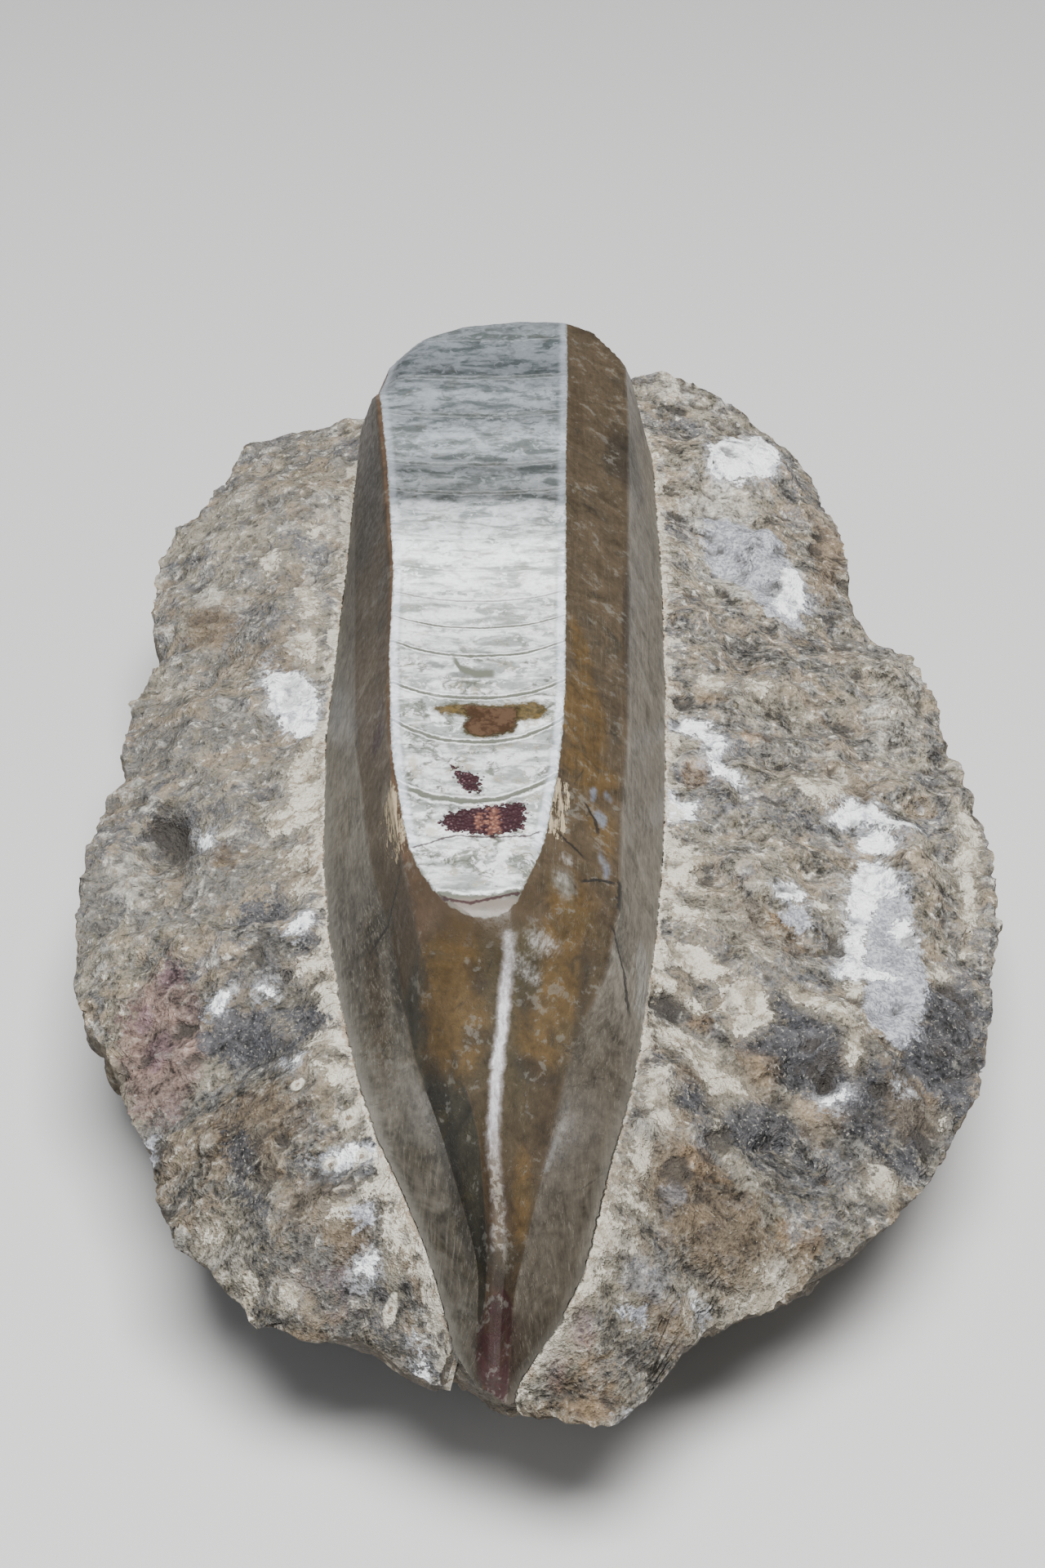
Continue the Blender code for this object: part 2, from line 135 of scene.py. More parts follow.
CREASE_RIGHT = (
    (-98.5, -3.9, -13.3), (-96.5, -3.4, -11.3), (-90, -3.1, -8.3), (-87, -2.8, -7),
    (-81, -1.2, -3.8), (-73, 0.9, -0.3), (-66, 2.6, 3.1), (-62, 3.9, 5.3), (-56, 7, 8.4),
    (-47, 8.8, 11.6), (-32, 9.4, 12), (-16, 10.7, 12), (20, 11.9, 12), (62, 13.2, 12.5),
)
OUTLINE_RIGHT = (
    (-98.5, -2.9, -12.6), (-96.5, -2.3, -10), (-95.5, -0.8, -7.5), (-93.5, 1.8, -4.3),
    (-89, 4.2, -2.3), (-81.5, 6, -0.6), (-75, 7.4, 0), (-66.5, 9.4, 0), (-57.5, 11, 0),
    (-47, 12.4, 0), (-40, 13.3, 0), (-24.5, 14.8, 0), (-8.5, 15.8, 0), (9.5, 16.6, 0),
    (39, 17.3, 0), (64, 17.3, 0),
)
RIDGE_LINES = (
    OUTLINE_LEFT, CREASE_LEFT, SHOULDER_LEFT, FLAT_LEFT,
    KEEL, FLAT_RIGHT, CREASE_RIGHT, OUTLINE_RIGHT,
)
FAR_END = (  # x, y of the foot of the rounded far end
    (-26.5, 64), (-25.3, 72), (-21, 80.5), (-13, 85.6), (-3, 87.6), (5, 87.4), (11.5, 84.8),
    (15.8, 78.5), (17.3, 70), (17.3, 64),
)
END_WALL = ((0, 0), (1.6, 9), (4.2, 15.2), (6.5, 17.1), (9, TOP), (400, TOP))  # inset, z
LUMPS = (  # x, y, reach across, reach along, turn in degrees, height
    (-39, 60, 11, 14, 10, 2.6), (-33, 30, 7, 10, -20, 1.8), (-46, -14, 4, 6.5, 20, -3.2),
    (-44, 8, 7, 8, 0, 1.5), (-38, -36, 9, 3.5, -12, 1.6), (-31, -52, 9, 7, 20, -1.8),
    (-25, -76, 8, 5, -40, 1.5), (31, 72, 9, 8, 0, 2.8), (36, 50, 8, 7, 30, 1.4),
    (25, 42, 5, 16, 0, -1.8), (45, 20, 7, 8, 0, 1.6), (33, 5, 7, 9, 15, -1.5),
    (45.5, -22, 3.2, 12, -4, 2.4), (52, -5, 3, 9, 0, 1.2), (23, -58, 9, 12, 10, -2.4),
    (38, -52, 7, 6, 30, 1.6), (20, -80, 8, 4, 35, 1.2), (26, -28, 6, 7, 0, 1.2),
)
LEDGES = (  # x, y of a point on it, heading in degrees, half length, drop on its near side
    (-36, -33, 172, 17, 1.8), (44, 36, 5, 9, 2.2), (39, -2, 78, 18, 1.2), (-47, 27, 20, 8, 1.6),
)
SIDE_PROFILE = (  # share of the way down, share of the plan size, roughness
    (0, 1, 0), (0.09, 0.99, 0.3), (0.26, 0.955, 1), (0.48, 0.905, 1.5),
    (0.72, 0.84, 1.5), (0.93, 0.775, 0.9), (1, 0.742, 0.5),
)
UNDERCUT = ((-95, 1), (-70, 0.85), (-45, 0.62), (60, 0.62), (95, 0.8))  # y, share drawn in


class Patch(Enum):
    """A tint or mineral that lies in patches on the stone. The value names its mesh field."""

    PALE = "pale"
    CREAM = "cream"
    DARK = "dark"
    BROWN = "brown"
    RUST = "rust"
    RED = "red"
    PURPLE = "purple"
    BLUE = "blue"
    AMBER = "amber"
    # Hollows dug into the deck, which are also painted dark as shade.
    HOLLOW = "shaded_hollow"


# Patches: x, y, reach across, reach along, turn in degrees, strength.
DECK_PATCHES: dict[Patch, tuple[Blob, ...]] = {
    Patch.PALE: (
        (-43.7, 63.5, 2.8, 5.8, 6, 0.5), (-31.2, 51.6, 2.8, 5.5, 5, 0.6),
        (-45.8, 39.9, 2.1, 3.8, 8, 0.8), (-41.8, 36.6, 3.4, 2.9, -12, 0.5),
        (-31.3, 34.3, 2.2, 7.4, 4, 0.7), (-54, 47, 1.6, 5.5, 7, 0.6),
        (-31.5, 21.4, 2, 5, 5, 0.8), (-37.6, -16.7, 2, 0.6, -1, 0.7),
        (-40.8, -24.5, 0.4, 2.4, 0, 0.7), (-33.2, -78.7, 4.2, 2, -41, 0.6),
        (21.8, 96.9, 3.3, 5.9, -4, 0.7), (27.4, 61.6, 3.8, 6, -1, 0.8),
        (28.3, 48.4, 6.3, 16.8, 14, 0.7), (44.1, 65.2, 2.4, 4.2, -8, 0.6),
        (37.3, 2.4, 2.1, 1.8, -30, 0.7), (48.8, 29.9, 1.8, 2.2, -18, 0.8),
        (43.5, -36.1, 2.6, 2.3, 28, 0.7), (12.4, -67.3, 1.7, 4.2, -3, 0.8),
        (16, -86.1, 1.3, 1.2, 25, 0.9), (20.9, -87.4, 2.3, 0.8, 21, 1),
        (24.9, -80.6, 1.9, 1.4, 44, 0.9), (30.7, -79.7, 2.9, 1, 33, 0.9),
        (-50.2, -18.5, 4.5, 7.2, 11, 0.5), (46.9, 11, 4.1, 8.4, -8, 0.5),
    ),
    Patch.DARK: (
        (-31.8, -3.6, 1.3, 2.8, 5, 0.7), (-36.5, -11.4, 1.6, 1.4, -38, 0.6),
        (-29.8, -40.4, 4.5, 2.9, 19, 0.9), (-30.7, -49.4, 8.4, 6.5, -35, 1.1),
        (-34.9, -43.2, 3.7, 5.6, 9, 0.5), (-17.5, -86.6, 1.9, 1.7, -21, 0.5),
        (-31, -67.9, 1.2, 4.9, 5, 0.5), (28.9, 22.8, 5.5, 2.3, -16, 0.7),
        (29.6, 8, 3.2, 1.8, -21, 0.5), (48.7, -42.5, 3.2, 7, -10, 0.7),
        (30.6, -51.6, 7.7, 5.3, -22, 1.2), (38.3, -57.6, 5.6, 5.2, -25, 1),
        (35.7, -63.8, 3.6, 6.3, -9, 0.6), (25.1, -32.9, 1, 2.9, 6, 0.8),
        (15, -49.7, 1.4, 2.3, 36, 1.2), (15.6, -64.4, 2.3, 2.1, 16, 0.9),
        (23.6, -67, 5.3, 3.2, -7, 0.8), (17.7, -83.6, 3, 0.6, -5, 1.1),
    ),
    Patch.BROWN: (
        (-38.6, -20.5, 2.2, 3.2, 10, 0.7), (-31, -65.1, 7.2, 5.7, -38, 0.7),
        (-19.8, -81.2, 3.1, 2.6, -39, 0.9), (-24.4, -90, 3.4, 2.1, -18, 0.9),
        # The first blob on the next line is painted shade, in brown, on the side wall at the right
        # rim.
        (42.6, 54.9, 2.6, 12.2, -6, 0.9), (22.8, 9.8, 2, 1.4, -27, 0.8),
        (27.7, -35.4, 5.8, 4.9, -29, 0.6), (18.4, -63.2, 1.6, 2, -9, 0.5),
        (18, -78.1, 7.5, 5.9, -19, 0.9), (11.9, -89.5, 3.3, 1.9, -15, 0.8),
        (41.3, -58.1, 3.7, 4.5, -1, 1), (-45.3, 32.8, 4.3, 3.9, -42, 0.8),
    ),
    Patch.RUST: (
        (-34, -76.5, 0.6, 0.6, -32, 0.6), (29, -33.5, 2.1, 1.3, 3, 0.8),
        (24, -55.7, 2.4, 1.7, -29, 1.1), (18, -51.1, 1.9, 1.6, -30, 0.8),
        (16.3, -60.8, 1.9, 2.1, -26, 0.8), (17.3, -71.9, 2.8, 1.9, 3, 1),
        (27.8, 2.8, 2.3, 1.6, 4, 0.9), (19.7, -7.4, 2, 3.1, -5, 0.8),
        (24.3, -57.2, 1.5, 1.3, 16, 0.8), (4.7, -96.6, 3.9, 2.7, 1, 0.7),
        (28.7, -76.9, 1.7, 1.1, 35, 0.9), (25.7, -76.6, 0.8, 1.4, -7, 0.7),
        (-27.8, -73.3, 0.5, 0.6, 9, 1), (30.7, -69.2, 0.5, 0.5, 11, 1),
    ),
    Patch.RED: (
        (-43.3, -49.2, 4.9, 9.6, 4, 1.1), (-41.6, -56, 2.5, 2.2, -40, 0.8),
    ),
    Patch.PURPLE: (
        (-43.7, -50.1, 2, 2.7, 14, 0.9), (-45.8, -44.6, 1.3, 2, 12, 0.7),
        (-42.8, -40.6, 1.5, 2, 14, 0.7), (-48.3, -44.7, 1.8, 2.3, 21, 0.5),
        (-22.3, -85.3, 5.4, 3.1, -31, 0.4), (3.9, -93, 1.3, 1.5, -5, 0.9),
        (1.4, -95.5, 1.3, 1.3, 6, 0.7),
    ),
    Patch.BLUE: (
        (-18.3, -80.3, 1.1, 1.3, 11, 0.8), (-18.4, -76.2, 1.2, 0.7, -1, 0.5),
        (24.1, 51.5, 1.3, 1.9, 14, 0.6), (43.4, -25.4, 2.2, 4.9, -8, 0.8),
        (41.6, -40.7, 2.6, 3.5, -16, 1), (40.8, -45.8, 2.8, 3.9, -13, 1.3),
        (13.9, -76.6, 1.6, 1.9, -10, 0.8), (13.1, -78.9, 1, 1.2, -11, 0.6),
        (10.8, -86.4, 2.9, 2.4, -22, 0.8), (-43.7, -62.9, 0.9, 1.7, 9, 1.2),
    ),
    Patch.HOLLOW: (
        (-46.6, -9.7, 2.3, 4.8, 1, 1.1), (-44.2, -17.8, 1.2, 4.8, 6, 0.7),
        (48.6, -38.1, 1.8, 1.3, -41, 0.9), (31.9, -57, 1, 1.2, -17, 1.2),
        (-29, -43.9, 0.6, 0.9, 0, 1.2), (17.7, -83.6, 3, 0.6, -5, 0.9),
        (12.9, -49.2, 0.5, 2.8, 2, 1.3),
    ),
}
RIDGE_PATCHES: dict[Patch, tuple[Blob, ...]] = {
    Patch.AMBER: (
        (-9.7, -59.8, 3, 5.6, -4, 1.1), (-7.6, -63.7, 2.1, 4, -7, 0.9),
        (-11.2, -56.8, 1.9, 1.6, -3, 0.7), (2.2, -57.6, 2.3, 4.7, -1, 1),
        (-0.3, -64, 2.6, 3.3, -1, 0.9), (2.4, -61.3, 1.7, 3.8, -1, 0.6),
        (5.3, -18, 2.5, 8.1, -1, 1.2), (5.7, -27.4, 3.2, 4.1, -3, 1.1),
        (5.2, -4.9, 1.2, 6.8, 7, 1), (6.8, -35.7, 2.4, 3.6, -2, 0.6),
        (7.7, -37.8, 0.9, 4.4, -2, 0.6), (3.3, -50.3, 3, 4.7, -1, 0.8),
        (3, -47.4, 2.1, 2.8, -2, 0.7), (-2, -78.9, 1.2, 5.3, -3, 0.7),
    ),
    Patch.BROWN: (
        (3.6, -34, 2.8, 3, -5, 0.5), (-9, -55.6, 3.5, 1.9, 0, 0.9),
        (-19.2, -4.1, 1, 15.4, 2, 0.9), (-19.6, 10.7, 1, 7.5, 2, 0.7),
        (-19.8, -21.4, 1.3, 8, 3, 0.5), (-14.4, -50, 2.7, 5.5, 3, 0.6),
        (-18.2, -53.2, 1.3, 11.8, 8, 0.7), (0.9, -71.5, 1.4, 7.1, -4, 0.8),
        (4.4, 24.3, 1.5, 11.9, -1, 0.5), (5.5, 55.6, 1.6, 13.7, -1, 0.6),
    ),
    Patch.RED: (
        (-19.1, -20.1, 0.8, 2.3, 3, 0.9), (-18.9, -15.9, 0.6, 3.3, 3, 0.5),
        (2.1, -32.7, 0.6, 2.1, -1, 1), (-4.1, -93.3, 2.5, 4.2, 1, 1.2),
        (-3.7, -88.9, 0.7, 0.9, 1, 0.9),
    ),
    Patch.DARK: (
        (-22.7, 38.4, 1.6, 14.7, 3, 0.8), (-23.3, 29.5, 1.3, 8.1, 3, 0.8),
        (12.2, 48.8, 3, 8, -2, 0.9), (11.3, 8.3, 0.7, 16.3, -2, 0.8),
        (9, -14.6, 1, 9.8, -2, 0.5), (-6.8, -59.5, 1, 1.7, 1, 0.8),
        (-5.7, -58.3, 1, 1.2, 3, 0.7), (-6.5, -64.4, 2.3, 1.1, -17, 0.7),
        (-1.7, -61.4, 1.1, 2.3, 0, 0.6), (-0.7, -66.7, 2.9, 1.3, 0, 0.8),
        (1.1, -63, 0.7, 1, -1, 0.6), (-10.7, -69.1, 1.2, 7.1, 14, 0.9),
        (-15.7, -54.3, 0.6, 6.6, 10, 0.8), (4.3, -58.7, 0.7, 8.9, -8, 0.7),
        (-8.8, -77.1, 1, 9, 14, 0.9), (-5.7, -84.3, 0.8, 4.4, 8, 0.8),
        (-4.4, -87.5, 0.7, 1, 1, 1.1), (-23.4, -34, 1.5, 7.4, 7, 0.5),
        (-8, -11.4, 2.8, 0.7, -4, 1),
        (-12.6, -9.2, 1.6, 0.6, -40, 0.8),
    ),
    Patch.PALE: (
        (-26, 7.5, 1.3, 6, 0, 1), (-26.2, 15, 0.8, 3, 0, 0.8),
        (11.2, -49.6, 0.5, 4.6, -2, 1.2), (2.6, -47.6, 1.6, 2.4, 0, 0.7),
    ),
    # Blue on the ridge: painted bluish glints by the cracks on the right flank.
    Patch.BLUE: (
        (6.1, -30.9, 0.5, 1.4, -1, 1), (6.9, -34.6, 0.6, 1.3, 2, 1),
        (7.8, -30, 0.5, 1.2, -2, 0.8), (7.1, -42.3, 0.5, 2.3, 4, 0.7),
    ),
    Patch.CREAM: (
        (-16.7, -35.9, 0.8, 3.9, 7, 1), (-15.6, -41.6, 0.6, 2.3, 7, 1),
        (-18, -28.3, 0.6, 2.8, 3, 0.7), (-12.2, -56.5, 0.4, 0.7, 2, 0.9),
        (-15.1, -50.9, 0.4, 1.1, -16, 0.6), (-12.2, -41.9, 0.7, 0.9, 0, 1),
        (-14.5, -29.2, 0.6, 2.2, 6, 0.8),
    ),
}
INCLUSIONS: dict[str, tuple] = {  # closed outlines of mineral and chips, x and y
    "flake": (
        ((-1.6, -56.4), (-0.5, -55.5), (0.7, -55.4), (1.8, -55.3), (1.7, -55.9), (0.2, -56.9),
         (-0.7, -57.1)),
        ((-3.6, -58.2), (-2.1, -58.2), (-0.7, -58.5), (-0.3, -59.3), (-1.3, -59.4), (-2.7, -59.1),
         (-3.6, -59.3)),
        ((-3.4, -56.6), (-2.9, -56.4), (-3.1, -57.8), (-3.7, -58.4), (-4.1, -57.6)),
        ((2.6, -43.6), (3.3, -43.4), (3.4, -44.4), (2.7, -44.5)),
        ((2.1, -46.8), (2.7, -46.7), (2.6, -47.6), (2, -47.5)),
        ((11.2, -46.3), (12.1, -44.4), (12.2, -48.7), (11.1, -54.3), (10.5, -54.6), (10.9, -49.8)),
    ),
    "splinter": (
        ((0.9, -31.4), (1.8, -31.7), (2.9, -32), (3.2, -35.3), (2.9, -38.7), (1.9, -41.3),
         (0.8, -41), (1.4, -36.4)),
        ((-16.9, -31.6), (-16, -34.4), (-15.3, -39.2), (-14.7, -44.2), (-15.7, -43.6),
         (-17.2, -38.2), (-17.6, -34.1)),
    ),
    "druse": (
        ((-11.4, -40), (-10.6, -38.7), (-9.3, -37.8), (-7.1, -37.3), (-4.5, -36.9), (-1.5, -36.5),
         (-1.3, -37.8), (-1.5, -39.9), (-1.9, -41.7), (-3.7, -42.5), (-5.5, -42.7), (-8.1, -42.4),
         (-10.3, -42)),
        ((-10.3, -29.4), (-9.4, -29.3), (-8.8, -30.7), (-7.7, -30.8), (-6.7, -31.7), (-6.5, -33.3),
         (-7, -34.8), (-8.4, -35), (-9.2, -33.6), (-9.8, -31.7)),
    ),
    "salmon": (
        ((-5.7, -37.5), (-4.9, -37.4), (-4.4, -39.3), (-4.6, -42.4), (-5.9, -42.4), (-5.7, -39.9)),
        ((-7.2, -38.7), (-6.6, -38.6), (-6.4, -40.5), (-6.9, -41.7), (-7.3, -40.5)),
    ),
    "geode": (
        ((-9, -18), (-7.7, -17.6), (-5.8, -18), (-4.1, -17.7), (-2.8, -18.1), (-2.6, -20.5),
         (-2.9, -22.8), (-5, -23.5), (-6.9, -23.9), (-8.2, -23.5), (-8.9, -21.7), (-8.2, -20.2)),
    ),
    "geode_rim": (
        ((-12.7, -18), (-11.1, -17.6), (-9, -17.3), (-5.8, -17.6), (-2.7, -17.1), (-0.4, -16.8),
         (0.9, -18), (0.7, -20), (-0.8, -20.9), (-2.5, -21.2), (-2.8, -23.3), (-5, -23.9),
         (-7.3, -24.3), (-8.7, -23.5), (-9.1, -21.7), (-8.5, -20.5), (-11.1, -19.5),
         (-12.5, -18.9)),
    ),
}
DECK_MINERALS: dict[str, tuple] = {  # closed outlines of minerals and crusts on the deck
    "spar": (
        ((38.9, -18.5), (41.7, -18.7), (43.6, -23.3), (44.5, -25.3), (43, -26.4), (40.5, -26.6),
         (39.9, -28.9), (38.4, -33.7), (38.1, -38.8), (42, -38.2), (43.1, -38.8), (40.4, -40.1),
         (36.5, -40.6), (34.1, -40.1), (35.4, -38.4), (36.4, -34), (36.6, -29.6), (37.4, -25.2)),
        ((42.2, -30.2), (43.9, -29.8), (45.1, -31.9), (45.6, -32.5), (43.4, -34), (42.1, -33.1)),
        ((36.7, -11.4), (37.5, -8.9), (39.8, -6.9), (42.4, -7.3), (44.2, -9.7), (47.2, -10.7),
         (47.9, -11.7), (46.1, -14), (44.1, -12.3), (41, -11), (37.7, -12.5)),
        ((39.1, -14.7), (41.9, -12.4), (44.2, -14.2), (44.3, -17.3), (42.8, -17.4), (39.9, -16.6)),
        ((28.2, -28.2), (30.7, -26.9), (32.1, -28.8), (31.5, -30.5), (29.4, -30.7), (28, -30.5)),
        ((16.3, 3), (18.5, 4.7), (22.2, 4.2), (23.6, 0.7), (23.8, -4.9), (25.9, -7.7), (24.5, -9.7),
         (22.5, -8.2), (21.5, -4.2), (21.7, -0.9), (20, 1.5), (17.3, 1)),
        ((15.5, -9.3), (16.3, -9.9), (17.2, -12.9), (19.7, -13.1), (18.9, -17), (17, -16.8),
         (15.1, -17.8)),
        ((25.6, 74.2), (34.7, 86), (38.1, 80.6), (35.8, 69.9), (30, 65.6), (25.8, 67.9)),
        ((33, 40.3), (35.8, 46.4), (37.8, 42.1), (37.8, 37.6), (35.5, 35), (33.3, 35.9)),
        ((-36.7, 18.9), (-34, 16.7), (-31.1, 15), (-29, 11.8), (-28.2, 6.2), (-28.3, 0.9),
         (-30.2, 0.9), (-32.5, 3.4), (-34.7, 7.4), (-36, 13.8)),
        ((-29.5, -36.7), (-27.3, -34.8), (-26, -34.7), (-26.2, -36.8), (-27.3, -38.8),
         (-29.4, -38.5)),
        ((-43.4, -12.3), (-41.7, -13.4), (-39.9, -17.7), (-41.2, -17.5), (-42.6, -14.9)),
        ((-37.9, -44.8), (-36.7, -44.1), (-35.7, -44.9), (-36.6, -46.6), (-37.7, -46.8)),
        ((-28.2, -57.5), (-26.5, -57.6), (-26.6, -58.3), (-27.9, -58.3)),
        ((-32.1, -44.9), (-30.9, -45), (-29.9, -46.3), (-30.8, -46.7), (-31.8, -45.9)),
        ((-23.1, -72.7), (-21, -71.9), (-17.5, -72.9), (-16.5, -74.2), (-19.1, -74.4),
         (-21.7, -74.1)),
        ((-19, -83.8), (-17.6, -83.2), (-17.1, -84.5), (-18.2, -85.1), (-19.1, -84.6)),
        ((-13.3, -90.9), (-11.1, -93.1), (-10.8, -96.2), (-12.5, -95.3)),
        ((15.6, -85.6), (16.4, -85.8), (16.6, -86.5), (15.6, -86.4)),
        ((8.6, -98), (10.7, -97.2), (10.2, -98.7), (7.4, -101.3), (6.9, -100.8)),
        ((32.5, -58.8), (33.9, -57.5), (34.5, -58.1), (33.4, -59.1), (31.7, -59.5), (31.1, -58.9)),
        ((40, -56.1), (40.8, -55.8), (40.3, -56.7), (39.7, -56.8)),
    ),
    "crust": (
        ((22.4, -81.5), (25.1, -80.1), (26.2, -81.1), (25.1, -85.4), (23.3, -87), (20.6, -85.3),
         (20.2, -84.3), (22.9, -82.6), (23.5, -81.9)),
        ((37.1, -24.2), (38, -21.3), (36.6, -40.4), (37.9, -40.9), (37.2, -46.7), (36.1, -53.6),
         (34.9, -55.5), (34.2, -54.6), (34.9, -49.9), (35.4, -40.7), (35.6, -34.3)),
        ((27.9, -44.2), (30.3, -44), (32.7, -44.6), (33.9, -46.3), (35.8, -48.6), (35.1, -50.6),
         (33.1, -49.1), (31.5, -47.2), (29.1, -46.7)),
        ((53.4, -4.2), (56.2, -1.7), (56.3, -8.3), (53.9, -21), (51.8, -31.2), (50.7, -31.9),
         (51.9, -22.7), (52.4, -13.3)),
        ((21.1, 14.7), (24.4, 14.6), (25, 12.6), (23.1, 10.8), (21, 12.5)),
        ((27.8, 15.8), (31, 15.9), (31.5, 14.2), (29.1, 11.7), (27.2, 12)),
        ((31.5, -6.2), (39.4, -0.8), (39.5, -4.7), (36.3, -10.1), (33.2, -10.3)),
        ((15.2, -23.1), (18.7, -21.8), (20.5, -25), (18.5, -26.7), (20.2, -29.7), (20.3, -31.8),
         (18.2, -31.2), (16.4, -29.2), (14.9, -30.1)),
        ((15, -33.7), (17.2, -33.4), (19.9, -36), (19.6, -37.7), (17.4, -37.3), (15.1, -35.9)),
        ((14.2, -40.4), (16.8, -39.6), (19.6, -40.4), (20.5, -42.7), (22.3, -43.3), (20.8, -44.9),
         (18.5, -44.8), (16.2, -43.5), (14.3, -44.4)),
        ((12.8, -45.4), (15.6, -46), (16.9, -48.4), (19.8, -47.9), (19.4, -49.7), (16.9, -49.7),
         (15.1, -47.9), (13, -48.2)),
        ((20.3, -45.5), (24.2, -43.9), (26.7, -47.7), (26.1, -49.9), (24.2, -51.4), (22.3, -52.9),
         (21.4, -50.6), (20.2, -48)),
        ((12.5, -53.3), (15.4, -52), (17.2, -53), (18.9, -55.1), (19.7, -57.7), (22, -58),
         (22.8, -59.6), (20.3, -61.8), (18.5, -62), (17.7, -60.1), (15.6, -56.8), (12.9, -56.8)),
        ((11.4, -60.1), (14, -60.8), (14.3, -64.9), (14.6, -68.4), (12.3, -69.7), (11.3, -66.3)),
        ((19, -62.9), (19.9, -62.5), (19.4, -66.3), (20.4, -70.6), (19.6, -70.9), (18.7, -67.6)),
        ((23.7, -36.5), (25, -37.6), (25.9, -39.8), (24.9, -40.6), (24, -38.9)),
        ((32.6, -28.5), (34.6, -28.8), (34.2, -30.5), (32.8, -30)),
        ((45, -37.6), (47.9, -34.9), (48.2, -36.6), (45.9, -38.6)),
        ((35.9, -66.6), (37.7, -66.6), (38.9, -68.8), (37.3, -70.7), (35.1, -70)),
        ((44.7, -58), (46, -57.6), (45.2, -59.3), (44.6, -59.4)),
        ((5.1, -83.3), (6.8, -81), (7.2, -82.3), (10.2, -83.5), (9.7, -84.4), (6.5, -86),
         (6.1, -88.1), (4.6, -90.7), (3.3, -92.8), (1.3, -94.3), (0.1, -94.6), (-1.2, -95.5),
         (-0.4, -93.9), (2.1, -93), (2.9, -91.3), (3.6, -87.6)),
        ((7.1, -78.8), (9.5, -77.9), (11.3, -79.4), (10.2, -80.8), (8.5, -80.3)),
        ((10.5, -71.4), (11.6, -71.8), (10.8, -76.4), (9.3, -76.7), (9, -73.8)),
        ((-32.8, 23.1), (-30.7, 24.7), (-29.1, 21.3), (-29.6, 17.1), (-31.9, 18.1)),
        ((-33.9, 38.1), (-31.1, 38.9), (-29.7, 27.5), (-31.9, 26.4)),
        ((-33.6, 51.8), (-31.4, 54.2), (-29.7, 50.4), (-31.6, 47.4)),
        ((-39.7, 46.2), (-36.8, 47.3), (-36, 43.4), (-38.1, 41.4)),
        ((-31.5, -3.3), (-28.4, -2.3), (-27.2, -9.9), (-28.8, -12.1), (-30.9, -9.5)),
        ((-30.5, -9.8), (-27.1, -9.9), (-26.6, -15.3), (-27.4, -17.8), (-31, -17.4), (-33.9, -16.5),
         (-33.3, -14.2), (-31.3, -13.4)),
        ((-30.7, -21.8), (-29.2, -20.6), (-27.6, -22.5), (-28.4, -25.2), (-29.9, -25.6),
         (-30.9, -26.9), (-30.9, -23.8)),
        ((-28.3, -27.6), (-26.2, -29.1), (-27.1, -31), (-28.8, -31.4), (-29.5, -29.7)),
        ((-28.7, -42.7), (-24.9, -41.7), (-23.1, -45.1), (-24, -46.4), (-22.7, -49.6), (-25, -49.5),
         (-26.2, -45.4), (-27.9, -44.4)),
        ((-26.1, -56.1), (-24.2, -54.3), (-21.8, -55.6), (-21.1, -57.9), (-23.5, -58.1),
         (-25.4, -57.2)),
        ((-25.3, -59.4), (-21.6, -60), (-20.4, -62.6), (-22.3, -63.5), (-23.8, -61.1)),
        ((-29.5, -50), (-28.4, -51.3), (-27.1, -52.8), (-27.5, -53.3), (-29, -51.8)),
        ((-22.4, -79), (-19.8, -77.7), (-15.6, -77.3), (-14.5, -79.5), (-18.1, -78.8),
         (-20.2, -79.6), (-21.9, -79.7)),
        ((-16.4, -79.5), (-13.7, -81.5), (-11.9, -86.7), (-9.8, -91.1), (-8.4, -93.3),
         (-9.8, -92.8), (-12.1, -86.4), (-14.5, -85.5), (-16.7, -83.1), (-16.1, -81.8)),
        ((-31.2, -80.6), (-30.4, -80.4), (-30.1, -82.9), (-30.9, -85.4), (-32.3, -83.7)),
        ((-27.5, -84.1), (-25.2, -85.6), (-23.3, -86.6), (-25.7, -86.1), (-27, -84.9)),
        ((-36.1, -74.5), (-33.7, -75.9), (-34.9, -76.6), (-36.5, -75.3)),
    ),
    "calcite": (
        ((24.1, 57.3), (29.5, 57.5), (34.8, 52.5), (36.7, 44), (38.5, 38.3), (35.4, 33.6),
         (31.9, 33.6), (27.7, 42.5), (23.6, 46.7)),
        ((39.5, -26.9), (44.2, -24.6), (44.8, -27.9), (44.3, -30.2), (45.5, -33.4), (45.3, -38.5),
         (44.1, -44.7), (42.2, -49.1), (41, -51.2), (39.5, -50.2), (37.6, -48.8), (36.9, -45.7),
         (37.9, -40.8)),
        ((28.4, -31.4), (31.5, -30.5), (32.3, -31.9), (30.6, -34.4), (28.5, -33.4)),
        ((-19.8, -79), (-17.2, -79.7), (-17.3, -81.4), (-18.9, -81.1)),
        ((-45.2, -61.1), (-43, -59.7), (-42.5, -63.8), (-43.6, -65)),
        ((7.5, -89.7), (10.5, -88.7), (11.3, -89.6), (9.2, -90.9), (7.7, -90.7)),
    ),
    "slate": (
        ((24.5, -46.2), (27.9, -45.2), (30.4, -47.9), (32.1, -50.3), (34.3, -51.4), (34, -55),
         (36, -55.3), (37, -53.4), (38.2, -54.8), (38, -57.8), (36.3, -59.6), (40.1, -61.1),
         (37.4, -64.4), (34.9, -63.3), (32.2, -61.9), (30.6, -59), (27, -58.5), (25.3, -56.5),
         (24, -54.4), (21.5, -54.6), (22.3, -52.4), (25.2, -50.4)),
        ((44.8, -39.3), (50.1, -37.4), (52.3, -41.2), (51.9, -44.8), (49, -57.6), (47, -60.9),
         (44.7, -58.2), (44.9, -55.4), (42.1, -54.5), (39.7, -54.3), (40.5, -51.7), (44.2, -45.4)),
        ((17.5, -64.3), (24.1, -60.5), (29.6, -62.2), (26.5, -65.7), (20.9, -68.1), (17.2, -69.2)),
